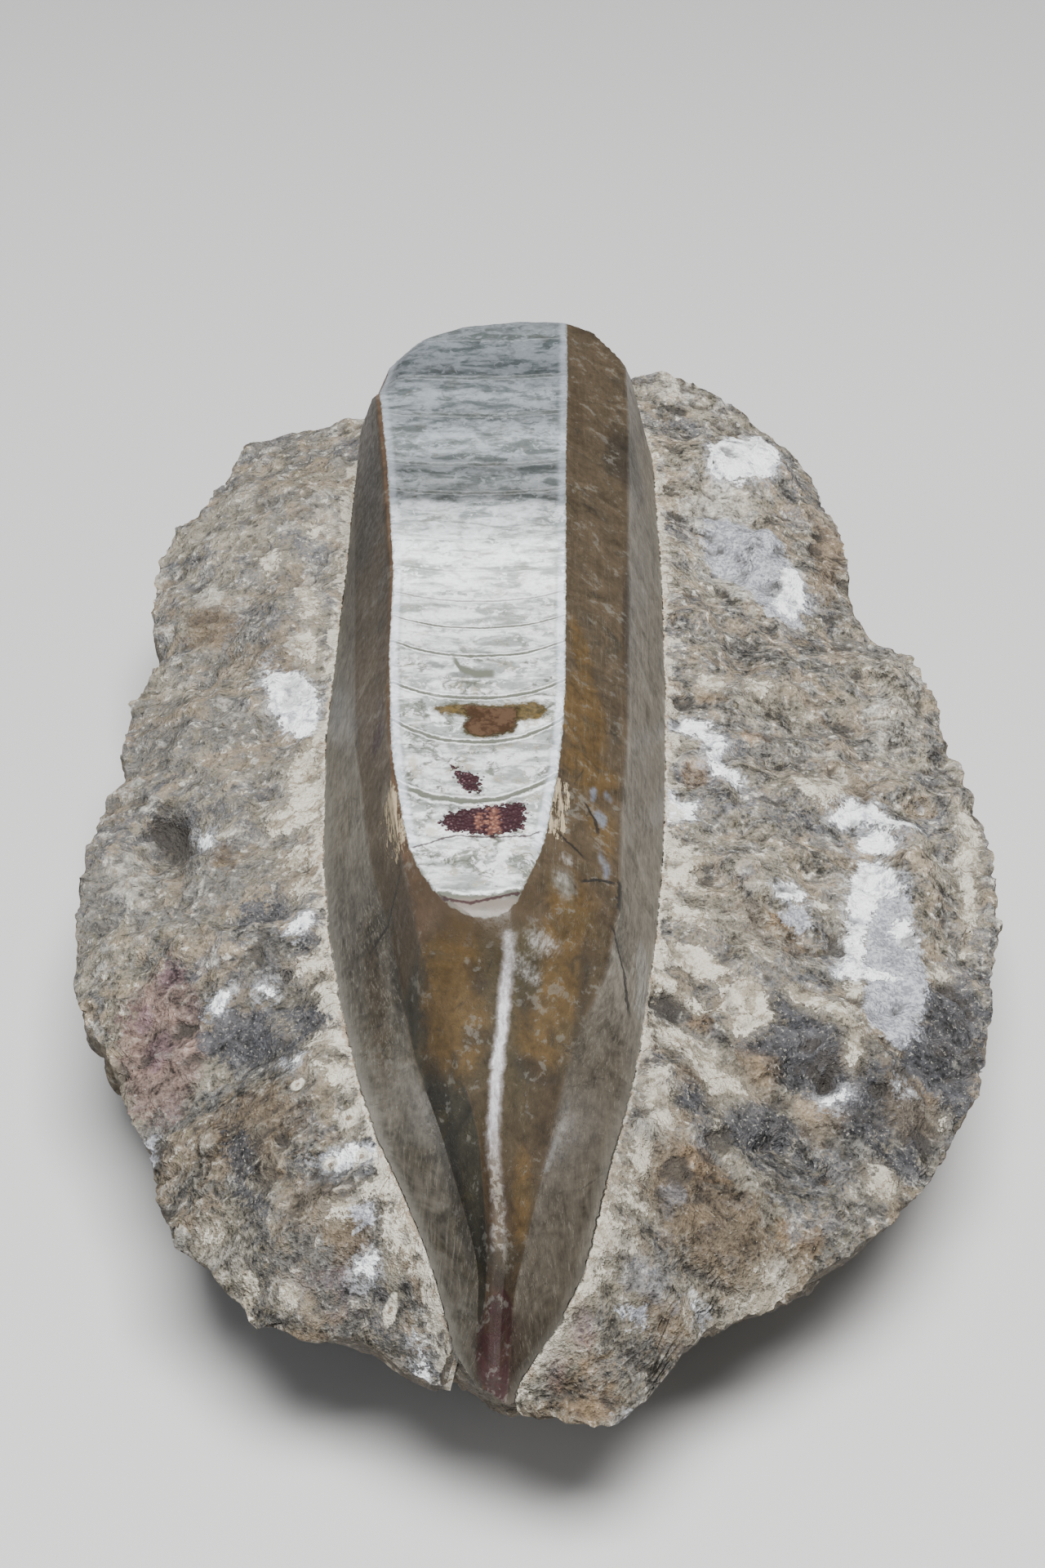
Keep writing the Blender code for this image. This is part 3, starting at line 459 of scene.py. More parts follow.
        ((14.6, -63), (17.5, -61.1), (18.2, -64.5), (15.4, -66.8), (13.8, -65.7)),
        ((-38, -46.2), (-35.1, -46.6), (-30.7, -48.2), (-25.9, -49), (-22.8, -51.4), (-22.2, -54.5),
         (-25.5, -55.9), (-26.5, -57.3), (-33.2, -53.4), (-35.1, -53.5), (-38, -50.6)),
        ((-36.1, -29.4), (-30, -30.5), (-29.4, -36.2), (-32.4, -36.3), (-34.4, -35.1)),
        ((-34.1, -64.3), (-29.9, -68.8), (-30.5, -72.8), (-28.5, -76.7), (-31.5, -75.3),
         (-32.9, -70.1)),
        ((37.9, -64), (44.8, -59.4), (41.3, -65.3), (39.1, -67.7), (37.7, -66.6)),
    ),
    "pit": (
        ((12.7, -48.7), (15.1, -47.6), (16.9, -49.7), (15.5, -51.9), (13.2, -51.4)),
        ((45.8, -39.3), (48.5, -37.9), (50.7, -39.7), (50.7, -41.1), (49.5, -41.2), (47.7, -40.3)),
        ((30.7, -57.2), (32.1, -56.7), (33.3, -57.1), (32.5, -58.2), (30.9, -58.5)),
        ((17.3, -70.7), (19.4, -69.7), (19.1, -70.7), (17.3, -71.4)),
        ((-50.6, -7.9), (-48, -7.5), (-44.6, -10.3), (-41.6, -18), (-45.1, -16.3), (-47.7, -10.7)),
    ),
    "ochre": (
        ((21.7, -55.2), (24, -55.1), (26.3, -55.2), (26.6, -57.3), (25, -60.2), (22.7, -60.3),
         (21.2, -58.6)),
        ((27.8, -59.9), (31.5, -59.3), (34.1, -61.2), (31.1, -64.1), (28.9, -63)),
        ((16.2, -71.4), (20.3, -70.9), (19.7, -72.5), (16.6, -73.5)),
        ((11.8, -73.1), (15.4, -71.3), (15.1, -72.8), (12.4, -74.4)),
        ((-27.4, -74.6), (-20.8, -76.6), (-19.6, -78.9), (-18.7, -81.1), (-21.5, -81.8),
         (-25, -80.4), (-27.3, -77.9)),
        ((-31, -67.9), (-27.9, -68.5), (-26.8, -74), (-29.6, -73.4)),
    ),
}
SEPTA = (  # y at the middle of the band, and how far each end of the arc lies behind it
    (-53.4, 0.6, 0.8), (-36.2, 3.1, 4.6), (-25.1, 4.4, 4.9), (-16.2, 3.2, 3.8),
    (-7.3, 3.2, 3.3), (-1.2, 2.6, 3), (4.8, 2.2, 2.6), (11.6, 2, 2.2), (19.5, 1.6, 2),
    (31.2, 1.4, 1.6), (38.4, 1.2, 1.4), (52.3, 1.2, 1.4), (63, 1, 1.2), (75, 1, 1),
)


def broken(points: Sequence[tuple[float, float]], at: np.ndarray) -> np.ndarray:
    """Value of a line of (coordinate, value) points, straight between them.

    Args:
        points: The line's points, in rising order of the coordinate.
        at: Where the value is wanted.

    Returns:
        One value for each place.
    """
    where, value = np.array(points, float).T
    return np.interp(at, where, value)


def distance_to(points: np.ndarray, path: Sequence, closed: bool = False) -> np.ndarray:
    """Distance from each of the points to a path of straight pieces.

    Args:
        points: Plan points, one row of x and y each.
        path: Corners of the path.
        closed: Whether the path's last corner joins its first.

    Returns:
        One distance for each point.
    """
    corners = np.array(path, float)
    ends = np.roll(corners, -1, axis=0) if closed else corners[1:]
    nearest = np.full(len(points), np.inf)
    for start, end in zip(corners, ends):
        along = end - start
        away = points - start
        share = np.clip(away @ along / max(along @ along, 1e-9), 0, 1)
        gap = away - share[:, None] * along
        nearest = np.minimum(nearest, (gap**2).sum(1))
    return np.sqrt(nearest)


def inside(points: np.ndarray, path: Sequence) -> np.ndarray:
    """Which of the points lie inside a closed path.

    Args:
        points: Plan points, one row of x and y each.
        path: Corners of the path.

    Returns:
        A truth value for each point.
    """
    corners = np.array(path, float)
    x, y = points.T
    odd = np.zeros(len(points), bool)
    for (x0, y0), (x1, y1) in zip(corners, np.roll(corners, -1, axis=0)):
        if y0 != y1:
            odd ^= ((y0 > y) != (y1 > y)) & (x < (x1 - x0) * (y - y0) / (y1 - y0) + x0)
    return odd


def facets(spot: Vector, size: float, tilt: float) -> float:
    """Height of a surface broken into flat faces, each tilted its own way.

    Args:
        spot: Where the height is wanted.
        size: Typical width of a face.
        tilt: Steepness of the faces.

    Returns:
        The height, in the unit of size.
    """
    edge_share, shuffle, step_height = 0.2, 7.3, 0.35
    place = spot / size
    reaches, centres = noise.voronoi(place)
    lean = noise.noise_vector(centres[0] * shuffle)
    step = min(1.0, (reaches[1] - reaches[0]) / edge_share)
    return step * tilt * size * (lean.dot(place - centres[0]) + step_height * lean.z)


def depth_inside(points: np.ndarray, path: Sequence) -> np.ndarray:
    """How deep the points lie inside a closed path, below 0 outside it.

    Args:
        points: Plan points, one row of x and y each.
        path: Corners of the path.

    Returns:
        One distance for each point.
    """
    away = distance_to(points, path, closed=True)
    return np.where(inside(points, path), away, -away)


def turned(points: np.ndarray, x: float, y: float, turn: float) -> tuple[np.ndarray, np.ndarray]:
    """The plan points as seen from a mark on the stone that is turned.

    Args:
        points: Plan points, one row of x and y each.
        x: The mark's place across.
        y: Its place along.
        turn: Its turn in degrees.

    Returns:
        Their places across the mark and along it.
    """
    across, along = points[:, 0] - x, points[:, 1] - y
    c, s = math.cos(math.radians(turn)), math.sin(math.radians(turn))
    return across * c + along * s, along * c - across * s


def blob_field(points: np.ndarray, blobs: Iterable[Blob]) -> np.ndarray:
    """Strongest of some soft blobs over each point.

    Args:
        points: Plan points, one row of x and y each.
        blobs: The blobs, each 1 times its strength in the middle and half of that at its reach.

    Returns:
        One value for each point.
    """
    outer_edge = 1.5  # in reaches
    strongest = np.zeros(len(points))
    for x, y, wide, long, turn, strength in blobs:
        across, along = turned(points, x, y, turn)
        reach = np.hypot(across / wide, along / long)
        strongest = np.maximum(strongest, strength * np.clip(outer_edge - reach, 0, 1))
    return strongest


def put_in_scene(name: str, data: bpy.types.ID) -> bpy.types.Object:
    """Adds an object with that data to the scene."""
    thing = bpy.data.objects.new(name, data)
    bpy.context.scene.collection.objects.link(thing)
    return thing


@dataclass
class StoneForm:
    """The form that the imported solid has, as functions over the plan."""

    base_depth: float = 34.0
    front_corner_y: float = -73.0
    back_corner_y: float = 86.5
    far_corner: tuple[float, float] = (22.0, 98.0)
    far_corner_rise: float = 6.5
    far_corner_reach: float = 16.0
    ease_reach: float = 1.6
    run_out: float = 6.0
    middle_x: float = -4.0
    fall_power: float = 1.35
    ledge_width: float = 1.6
    ledge_reach: float = 11.0
    chip_size: float = 8.5
    chip_seed: int = 4  # fixes the tilts of the broken faces
    chip_tilt: float = 0.42
    swell: float = 1.1
    swell_size: float = 13.0
    calm_edge: float = 3.0
    side_chip_size: float = 15.0
    side_chip_tilt: float = 0.42

    def eased(self, line: Sequence, at: np.ndarray) -> tuple[np.ndarray, np.ndarray]:
        """x and z of a ridge line, with each bend rounded.

        Args:
            line: The line's points, y, x and z each.
            at: The y where they are wanted.

        Returns:
            The x and the z for each place.
        """
        where, across, level = np.array(line, float).T
        near = self.ease_reach * np.array([-1.0, -0.5, 0.0, 0.5, 1.0])
        spots = np.asarray(at, float)[..., None] + near
        return np.interp(spots, where, across).mean(-1), np.interp(spots, where, level).mean(-1)

    def rim_path(self) -> list[tuple[float, float]]:
        """The rim as one closed path, from the front left corner."""
        right = [(x, y) for y, x in RIGHT_RIM][1:]
        left = [(x, y) for y, x in LEFT_RIM][::-1][1:-1]
        return list(FRONT_RIM) + right + list(BACK_RIM)[::-1][1:] + left

    def foot_path(self) -> list[tuple[float, float]]:
        """The foot of the polished ridge as one closed path, from in front of its tip."""
        left, right = ([(x, y) for y, x, _ in line] for line in (OUTLINE_LEFT, OUTLINE_RIGHT))
        starts = [(side[0][0], side[0][1] - self.run_out) for side in (left, right)]
        return [starts[0], *left, *FAR_END[1:-1], *right[::-1], starts[1]]

    def band_path(self) -> list[tuple[float, float]]:
        """The edge of the white shell on the flat top, as one closed path."""
        front = [
            (3.1, -13.8), (2.7, -22.5), (2.2, -28.9), (1.4, -35.7), (0.6, -41.7), (-0.3, -45.9),
            (-1.9, -51.2), (-2.6, -53.7), (-3.5, -55.1), (-4.7, -55.7), (-6.1, -55.9),
            (-7.5, -55.7), (-8.9, -54.9), (-10.3, -53.8), (-11.6, -51.8), (-13.2, -48.5),
            (-14.5, -44.6), (-15.4, -39.3), (-16.1, -33.9),
            (-16.8, -28.9), (-17.4, -22.5), (-17.8, -13.8),
        ]
        side = [(-18.2, -6.8), (-18.4, 12.0), (-20.4, 40.0), (-22.5, 62.0)]
        end = [(-21.0, 72.0), (-17.0, 79.0), (-11.0, 82.6), (-3.0, 84.2), (4.6, 83.6), (4.4, 62.0)]
        return front + side + end + [(3.9, 40.0), (3.5, 12.0)]

    def ridge_level(self, points: np.ndarray) -> np.ndarray:
        """Height of the polished ridge over each of the plan points."""
        x, y = points.T
        lines = [self.eased(line, y) for line in RIDGE_LINES]
        level = lines[0][1].copy()
        for (x0, z0), (x1, z1) in zip(lines, lines[1:]):
            share = np.clip((x - x0) / np.maximum(x1 - x0, 1e-6), 0, 1)
            level = np.where(x >= x0, z0 + share * (z1 - z0), level)
        inset = np.maximum(distance_to(points, FAR_END), FAR_END[0][1] - y)
        return np.minimum(level, broken(END_WALL, inset))

    def rim_level(self, points: np.ndarray) -> np.ndarray:
        """Height of the broken rim near each of the plan points."""
        corner = np.hypot(points[:, 0] - self.far_corner[0], points[:, 1] - self.far_corner[1])
        rise = self.far_corner_rise * np.exp(-((corner / self.far_corner_reach) ** 2))
        return broken(RIM_LEVEL, points[:, 1]) + rise

    def relief(self, points: np.ndarray) -> np.ndarray:
        """Rises, hollows and ledges of the rough deck over each of the plan points."""
        level = np.zeros(len(points))
        for x, y, wide, long, turn, height in LUMPS:
            across, along = turned(points, x, y, turn)
            level += height * np.exp(-(((across / wide) ** 2 + (along / long) ** 2) ** 1.5))
        for x, y, heading, half, drop in LEDGES:
            along, behind = turned(points, x, y, heading)
            away = -behind
            fades = np.exp(-((along / half) ** 4))
            fades *= np.exp(-np.maximum(away, 0) / self.ledge_reach)
            level -= drop * fades / (1 + np.exp(-away / (self.ledge_width / 4)))
        return level

    def roughness(self, points: np.ndarray) -> np.ndarray:
        """Broken faces and soft lumps of the rough deck over each of the plan points."""
        rough = []
        for x, y in points:
            swell = noise.fractal(Vector((x, y, 3.0)) / self.swell_size, 0.9, 2.0, 3)
            chip = facets(Vector((x, y, 11.0)), self.chip_size, self.chip_tilt)
            rough.append(chip + self.swell * swell)
        return np.array(rough)

    def deck_level(self, points: np.ndarray, foot: np.ndarray, rim: np.ndarray) -> np.ndarray:
        """Height of the rough deck, which falls from the foot of the ridge to the rim.

        Args:
            points: Plan points.
            foot: Their distances to the foot of the ridge.
            rim: Their distances to the rim.

        Returns:
            One height for each point.
        """
        out = foot / np.maximum(foot + rim, 1e-6)
        left, right = (self.eased(line, points[:, 1])[1] for line in (OUTLINE_LEFT, OUTLINE_RIGHT))
        start = np.where(points[:, 0] < self.middle_x, left, right)
        level = start + (self.rim_level(points) - start) * out**self.fall_power
        calm = 1 - np.exp(-foot / self.calm_edge)
        return level + calm * (self.relief(points) + self.roughness(points))


@dataclass(frozen=True)
class BakeMap:
    """Where the parts of the skin lie on the square bake map, as shares of its side."""

    margin: float = 0.004
    height: float = 0.992
    upper_width: float = 0.572
    side_left: float = 0.592
    side_width: float = 0.108
    side_pitch: float = 0.118
    base_left: float = 0.832
    base_size: tuple[float, float] = (0.16, 0.5)

    def upper(self, rows: int, columns: int) -> list[tuple[float, float]]:
        """Corners of the cells of the upper face, row by row."""
        wide, high = self.upper_width / (columns - 1), self.height / (rows - 1)
        return [
            (self.margin + wide * (i + a), self.margin + high * (j + b))
            for j in range(rows - 1) for i in range(columns - 1)
            for a, b in ((0, 0), (1, 0), (1, 1), (0, 1))
        ]

    def ring(self, around: int, top: float, bottom: float) -> list[tuple[float, float]]:
        """Corners of one ring of the side, which lies in two strips, half the way round each.

        Args:
            around: Cells in the ring.
            top: Share of the way down at its upper edge.
            bottom: That at its lower edge.

        Returns:
            The corners of each cell in turn.
        """
        half, corners = around // 2, []
        for k in range(around):
            strip, start = divmod(k, half)
            left = self.side_left + self.side_pitch * strip
            near, far = start / half, (start + 1) / half
            for share, down in ((near, top), (near, bottom), (far, bottom), (far, top)):
                corners.append((left + self.side_width * down, self.margin + self.height * share))
        return corners

    def base(self, outline: np.ndarray) -> list[tuple[float, float]]:
        """Corners of the base, from its outline in the plan."""
        shares = (outline - outline.min(0)) / np.ptp(outline, axis=0)
        (wide, high), left = self.base_size, self.base_left
        return [(left + wide * u, self.margin + high * v) for u, v in shares]


@dataclass
class Surface:
    """Points of the stone's skin and all that is known of each."""

    spots: np.ndarray
    quads: list[tuple[int, ...]]
    corners: list[tuple[float, float]]
    fields: dict[str, np.ndarray]


@dataclass
class FineStone:
    """The whole stone at the grain of its real surface."""

    form: StoneForm = field(default_factory=StoneForm)
    cells_across: tuple[int, ...] = (46, 9, 9, 3, 14, 14, 12, 9, 56)
    row_spans: tuple = ((-97.6, -60, 90), (-60, -45, 40), (-45, 77, 200), (77, 89, 28),
                        (89, 98.6, 16))
    side_rings: int = 30
    softening: int = 35
    chip_sizes: tuple[float, ...] = (3.6, 1.7)
    chip_tilts: tuple[float, ...] = (0.50, 0.42)
    grain: float = 0.16
    grain_size: float = 1.1
    nick_depth: float = 1.3
    nick_size: float = 3.2
    wobble: float = 0.05
    wobble_size: float = 9.0
    pit_depth: float = 0.9
    zone_size: float = 24.0  # of the areas that are broken more or less roughly
    foot_fade: float = 1.2
    polish_fade: float = 2.0
    band_fade: float = 1.5
    rim_reach: float = 1.6
    base_edge_decay: float = 9.0
    sharp_angle: float = 40.0
    septum_power: float = 2.4
    bake_map: BakeMap = BakeMap()

    def row_middles(self) -> np.ndarray:
        """y of each row where it crosses the middle of the slab."""
        spans = [np.linspace(a, b, n, endpoint=False) for a, b, n in self.row_spans]
        return np.concatenate(spans + [[self.row_spans[-1][1]]])

    def row_bend(self, across: np.ndarray, share: float) -> np.ndarray:
        """How far a row has bent towards its end height.

        Args:
            across: Places across the row, from -1 to 1.
            share: How far the row is from the front of the slab to its back, from 0 to 1.

        Returns:
            One share for each place.
        """
        bends = []
        ends = ((FRONT_RIM, self.form.front_corner_y), (BACK_RIM, self.form.back_corner_y))
        for rim, corner_y in ends:
            side_x = np.where(across < 0, rim[0][0], rim[-1][0])
            x = self.form.middle_x + np.abs(across) * (side_x - self.form.middle_x)
            middle = broken(rim, self.form.middle_x)
            bends.append((broken(rim, x) - middle) / (corner_y - middle))
        return bends[0] * (1 - share) + bends[1] * share

    def row_places(self, middle: float, first: float, last: float) -> np.ndarray:
        """Plan points of one row, which bends with the rim and keeps to the ridge lines.

        Args:
            middle: The row's y in the middle of the slab.
            first: That of the first row.
            last: That of the last row.

        Returns:
            x and y of each point of the row.
        """
        form = self.form
        share = (middle - first) / (last - first)
        side_y = form.front_corner_y + share * (form.back_corner_y - form.front_corner_y)
        rims = broken(LEFT_RIM, side_y), broken(RIGHT_RIM, side_y)
        y = np.full(sum(self.cells_across) + 1, middle)
        for _ in range(4):
            lines = [np.full_like(y, rims[0])] + [form.eased(line, y)[0] for line in RIDGE_LINES]
            lines.append(np.full_like(y, rims[1]))
            x, begin = np.empty_like(y), 0
            for cells, low, high in zip(self.cells_across, lines, lines[1:]):
                spots = np.arange(begin, begin + cells + 1)
                x[spots] = low[spots] + (high[spots] - low[spots]) * (spots - begin) / cells
                begin += cells
            reach = np.where(x < form.middle_x, form.middle_x - rims[0], rims[1] - form.middle_x)
            y = middle + (side_y - middle) * self.row_bend((x - form.middle_x) / reach, share)
        return np.stack([x, y], 1)

    def plan(self) -> np.ndarray:
        """Plan of the upper face: rows of x and y, with its outer rows exactly on the rim."""
        middles = self.row_middles()
        rows = [self.row_places(middle, middles[0], middles[-1]) for middle in middles]
        plan = np.array(rows)
        plan[0, :, 1] = broken(FRONT_RIM, plan[0, :, 0])
        plan[-1, :, 1] = broken(BACK_RIM, plan[-1, :, 0])
        return plan

    def lanes(self) -> np.ndarray:
        """Lane of each column: 0 at the left rim, 1 to 8 at the ridge lines, 9 at the right rim."""
        steps = [k + np.arange(cells) / cells for k, cells in enumerate(self.cells_across)]
        return np.concatenate(steps + [[float(len(self.cells_across))]])

    def side_ring(self, rim: np.ndarray, down: float) -> np.ndarray:
        """One ring of the side: the rim smoothed, drawn in and lowered, with broken faces.

        Args:
            rim: The rim's points, round the stone.
            down: Share of the way down to the base.

        Returns:
            The ring's points.
        """
        form = self.form
        downs, sizes, roughs = np.array(SIDE_PROFILE).T
        size, rough = np.interp(down, downs, sizes), np.interp(down, downs, roughs)
        shifts = range(-self.softening, self.softening + 1)
        soft = np.mean([np.roll(rim, shift, axis=0) for shift in shifts], axis=0)
        ring = []
        for sharp, smooth in zip(rim, soft):
            drawn = 1 - (1 - size) * broken(UNDERCUT, sharp[1])
            x, y = (sharp + (smooth - sharp) * down**0.5)[:2] * drawn
            spot = Vector((x, y, sharp[2] - (form.base_depth + sharp[2]) * down))
            outward = Vector((x, y, 0)).normalized()
            push = rough * facets(spot, form.side_chip_size, form.side_chip_tilt)
            ring.append(spot + outward * push)
        return np.array(ring)

    def chambers(self, points: np.ndarray) -> np.ndarray:
        """Chamber coordinate of each plan point: a whole number at each arched septum."""
        x, y = points.T
        middles, lefts, rights = np.array(SEPTA).T
        low, high = (self.form.eased(line, y)[0] for line in (FLAT_LEFT, FLAT_RIGHT))
        across = np.clip(2 * (x - low) / np.maximum(high - low, 1e-6) - 1, -1.2, 1.2)
        flat = y.copy()
        for _ in range(3):
            rise = np.where(across < 0, np.interp(flat, middles, lefts),
                            np.interp(flat, middles, rights))
            flat = y - rise * np.abs(across) ** self.septum_power
        return np.interp(flat, middles, np.arange(len(middles), dtype=float))

    def surface(self) -> Surface:
        """The smooth surface of the whole stone, with its fields and its bake map."""
        form = self.form
        plan = self.plan()
        rows, columns = plan.shape[:2]
        flat = plan.reshape(-1, 2)
        foot = distance_to(flat, form.foot_path(), closed=True)
        rim = distance_to(flat, form.rim_path(), closed=True)
        on_ridge = inside(flat, form.foot_path())
        level = np.where(on_ridge, form.ridge_level(flat), form.deck_level(flat, foot, rim))
        top = np.column_stack([flat, level])
        number = np.arange(rows * columns).reshape(rows, columns)
        quads = [
            (number[j, i], number[j, i + 1], number[j + 1, i + 1], number[j + 1, i])
            for j in range(rows - 1) for i in range(columns - 1)
        ]
        corners = self.bake_map.upper(rows, columns)
        border = np.concatenate([
            number[0, :-1], number[:-1, -1], number[-1, :0:-1], number[:0:-1, 0],
        ])
        around = len(border)
        downs = np.linspace(0, 1, self.side_rings + 1)
        downs = 0.35 * downs**2 + 0.65 * downs  # closer together near the rim
        rings = [self.side_ring(top[border], down) for down in downs[1:]]
        rings[-1][:, 2] = -form.base_depth
        spots = np.concatenate([top] + rings)
        upper = border
        for r in range(self.side_rings):
            lower = rows * columns + r * around + np.arange(around)
            after = np.roll(np.arange(around), -1)
            quads += zip(upper, lower, lower[after], upper[after])
            corners += self.bake_map.ring(around, downs[r], downs[r + 1])
            upper = lower
        quads.append(tuple(upper))
        corners += self.bake_map.base(spots[upper, :2])
        fields = self.fields(spots, rows * columns, columns, foot, rim, on_ridge)
        return Surface(spots, quads, corners, fields)

    def fields(self, spots: np.ndarray, top: int, columns: int, foot: np.ndarray,
               rim: np.ndarray, on_ridge: np.ndarray) -> dict[str, np.ndarray]:
        """What the finishes need to know at each point.

        Args:
            spots: All points of the skin.
            top: How many of them are on the upper face. They come first.
            columns: Points in a row of the upper face.
            foot: Distances of the upper points to the foot of the ridge.
            rim: Their distances to the rim.
            on_ridge: Which of them are on the ridge.

        Returns:
            The values by name.
        """
        count = len(spots)
        flat = spots[:top, :2]
        outside, without = -30.0, -9.0  # depths of points that aren't on the upper face
        found = {
            "ridge": np.full(count, outside), "band": np.full(count, outside),
            "lane": np.zeros(count), "chamber": np.zeros(count),
            "side": np.ones(count), "rim": np.zeros(count),
        }
        found["ridge"][:top] = np.where(on_ridge, foot, -foot)
        found["band"][:top] = depth_inside(flat, self.form.band_path())
        found["lane"][:top] = np.tile(self.lanes(), top // columns)
        found["chamber"][:top] = self.chambers(flat)
        found["side"][:top] = 0.0
        found["rim"][:top] = rim
        for patch in Patch:
            found[patch.value] = np.zeros(count)
            deck = blob_field(flat, DECK_PATCHES.get(patch, ()))
            ridge = blob_field(flat, RIDGE_PATCHES.get(patch, ()))
            found[patch.value][:top] = np.where(on_ridge, ridge, deck)
        for name, outlines in (INCLUSIONS | DECK_MINERALS).items():
            found[name] = np.full(count, without)
            for outline in outlines:
                found[name][:top] = np.maximum(found[name][:top], depth_inside(flat, outline))
        return found

    def roughen(self, surface: Surface, normals: np.ndarray) -> None:
        """Breaks the rough stone into grain and lays a faint wave over the polish.

        Args:
            surface: The smooth surface, which is changed.
            normals: The normal of each of its points.
        """
        ridge, side = surface.fields["ridge"], surface.fields["side"]
        rough = np.where(side > 0.5, 1.0, np.clip(-ridge / self.foot_fade, 0, 1))
        polish = np.where(side > 0.5, 0.0, np.clip(ridge / self.polish_fade, 0, 1))
        polish *= np.clip(-surface.fields["band"] / self.band_fade, 0, 1)
        pits = surface.fields["shaded_hollow"] * self.pit_depth
        pits += np.clip(surface.fields["pit"] + 0.6, 0, 1.2) * self.pit_depth * 0.7
        push, nick = np.zeros(len(ridge)), np.zeros(len(ridge))
        for k, spot in enumerate(map(Vector, surface.spots)):
            if rough[k] > 0:
                zone = 0.75 + 0.5 * noise.noise(spot / self.zone_size)
                chips = sum(
                    facets(spot + Vector((0, 0, 5.0 * size)), size, tilt)
                    for size, tilt in zip(self.chip_sizes, self.chip_tilts)
                )
                grain = self.grain * noise.fractal(spot / self.grain_size, 0.7, 2.0, 2)
                push[k] = rough[k] * (zone * chips + grain)
                nick[k] = max(0.0, noise.fractal(spot / self.nick_size, 0.8, 2.0, 3) + 0.1)
            elif polish[k] > 0:
                push[k] = self.wobble * polish[k] * noise.noise(spot / self.wobble_size)
        near_rim = np.exp(-surface.fields["rim"] / self.rim_reach) * rough * (side < 0.5)
        down = (surface.spots[:, 2] + self.form.base_depth) / self.form.base_depth
        near_rim += np.exp(-(1 - np.clip(down, 0, 1)) * self.base_edge_decay) * (side > 0.5)
        inward = -surface.spots * (1, 1, 0)
        inward /= np.maximum(np.linalg.norm(inward, axis=1, keepdims=True), 1e-6)
        surface.spots += normals * (push - pits)[:, None]
        surface.spots += inward * (self.nick_depth * nick * near_rim)[:, None]
        surface.fields["relief"] = push

    def build(self) -> bpy.types.Object:
        """The stone as one closed mesh object in metres, with its fields and its bake map."""
        noise.seed_set(self.form.chip_seed)
        surface = self.surface()
        depth = self.form.base_depth
        floor_ring = surface.spots[:, 2] <= -depth + 1e-6
        mesh = bpy.data.meshes.new("polished_fossil")
        mesh.from_pydata(surface.spots.tolist(), [], [list(map(int, q)) for q in surface.quads])
        normals = np.empty(len(surface.spots) * 3)
        mesh.vertices.foreach_get("normal", normals)
        self.roughen(surface, normals.reshape(-1, 3))
        surface.spots[:, 2] += depth
        surface.spots[floor_ring, 2] = 0.0
        low, high = (np.array(corner) / MM for corner in CAD_BOX)
        spots = np.clip(surface.spots, low, high) * MM
        mesh.vertices.foreach_set("co", spots.ravel())
        bake_map = mesh.uv_layers.new(name="OFBake")
        bake_map.data.foreach_set("uv", np.array(surface.corners).ravel())
        for name, values in surface.fields.items():
            attribute = mesh.attributes.new(name, "FLOAT", "POINT")
            attribute.data.foreach_set("value", values.astype(np.float32))
        mesh.polygons.foreach_set("use_smooth", [True] * len(mesh.polygons))
        mesh.update()
        mesh.validate()
        mesh.set_sharp_from_angle(angle=math.radians(self.sharp_angle))
        return put_in_scene("polished_fossil", mesh)


# ------------------------------------------------------------------ shader building

Operand = Union["Wire", float, Colour]


def arithmetic(operation: str, swapped: bool = False) -> Callable:
    """A method of Wire that adds the node for one arithmetic step.

    Args:
        operation: What the node does.
        swapped: Whether the wire is its second operand.

    Returns:
        The method.
    """

    def step(wire: "Wire", other: Operand) -> "Wire":
        """The result as a wire."""
        return wire.tree.calculate(operation, *((other, wire) if swapped else (wire, other)))

    return step


class Wire:
    """An output of a shader node, with arithmetic that adds the nodes it needs."""

    __add__, __radd__ = arithmetic("ADD"), arithmetic("ADD", swapped=True)
    __sub__, __rsub__ = arithmetic("SUBTRACT"), arithmetic("SUBTRACT", swapped=True)
    __mul__, __rmul__ = arithmetic("MULTIPLY"), arithmetic("MULTIPLY", swapped=True)

    def __init__(self, tree: "ShaderTree", socket: bpy.types.NodeSocket) -> None:
        """Keeps the tree and the socket."""
        self.tree, self.socket = tree, socket

    @property
    def is_number(self) -> bool:
        """Whether the wire carries one number."""
        return self.socket.type == "VALUE"

    def __abs__(self) -> "Wire":
        """Size without its sign."""
        return self.tree.calculate("ABSOLUTE", self)

    def sway(self, reach: float) -> "Wire":
        """A noise from 0 to 1 moved to lie about 0, and scaled."""
        return (self - 0.5) * reach

    def rise(self, low: float, high: float) -> "Wire":
        """0 up to low and 1 from high, eased between them."""
        return self.tree.range(self, low, high, 0.0, 1.0)

    def fall(self, low: float, high: float) -> "Wire":
        """1 up to low and 0 from high, eased between them."""
        return self.tree.range(self, low, high, 1.0, 0.0)


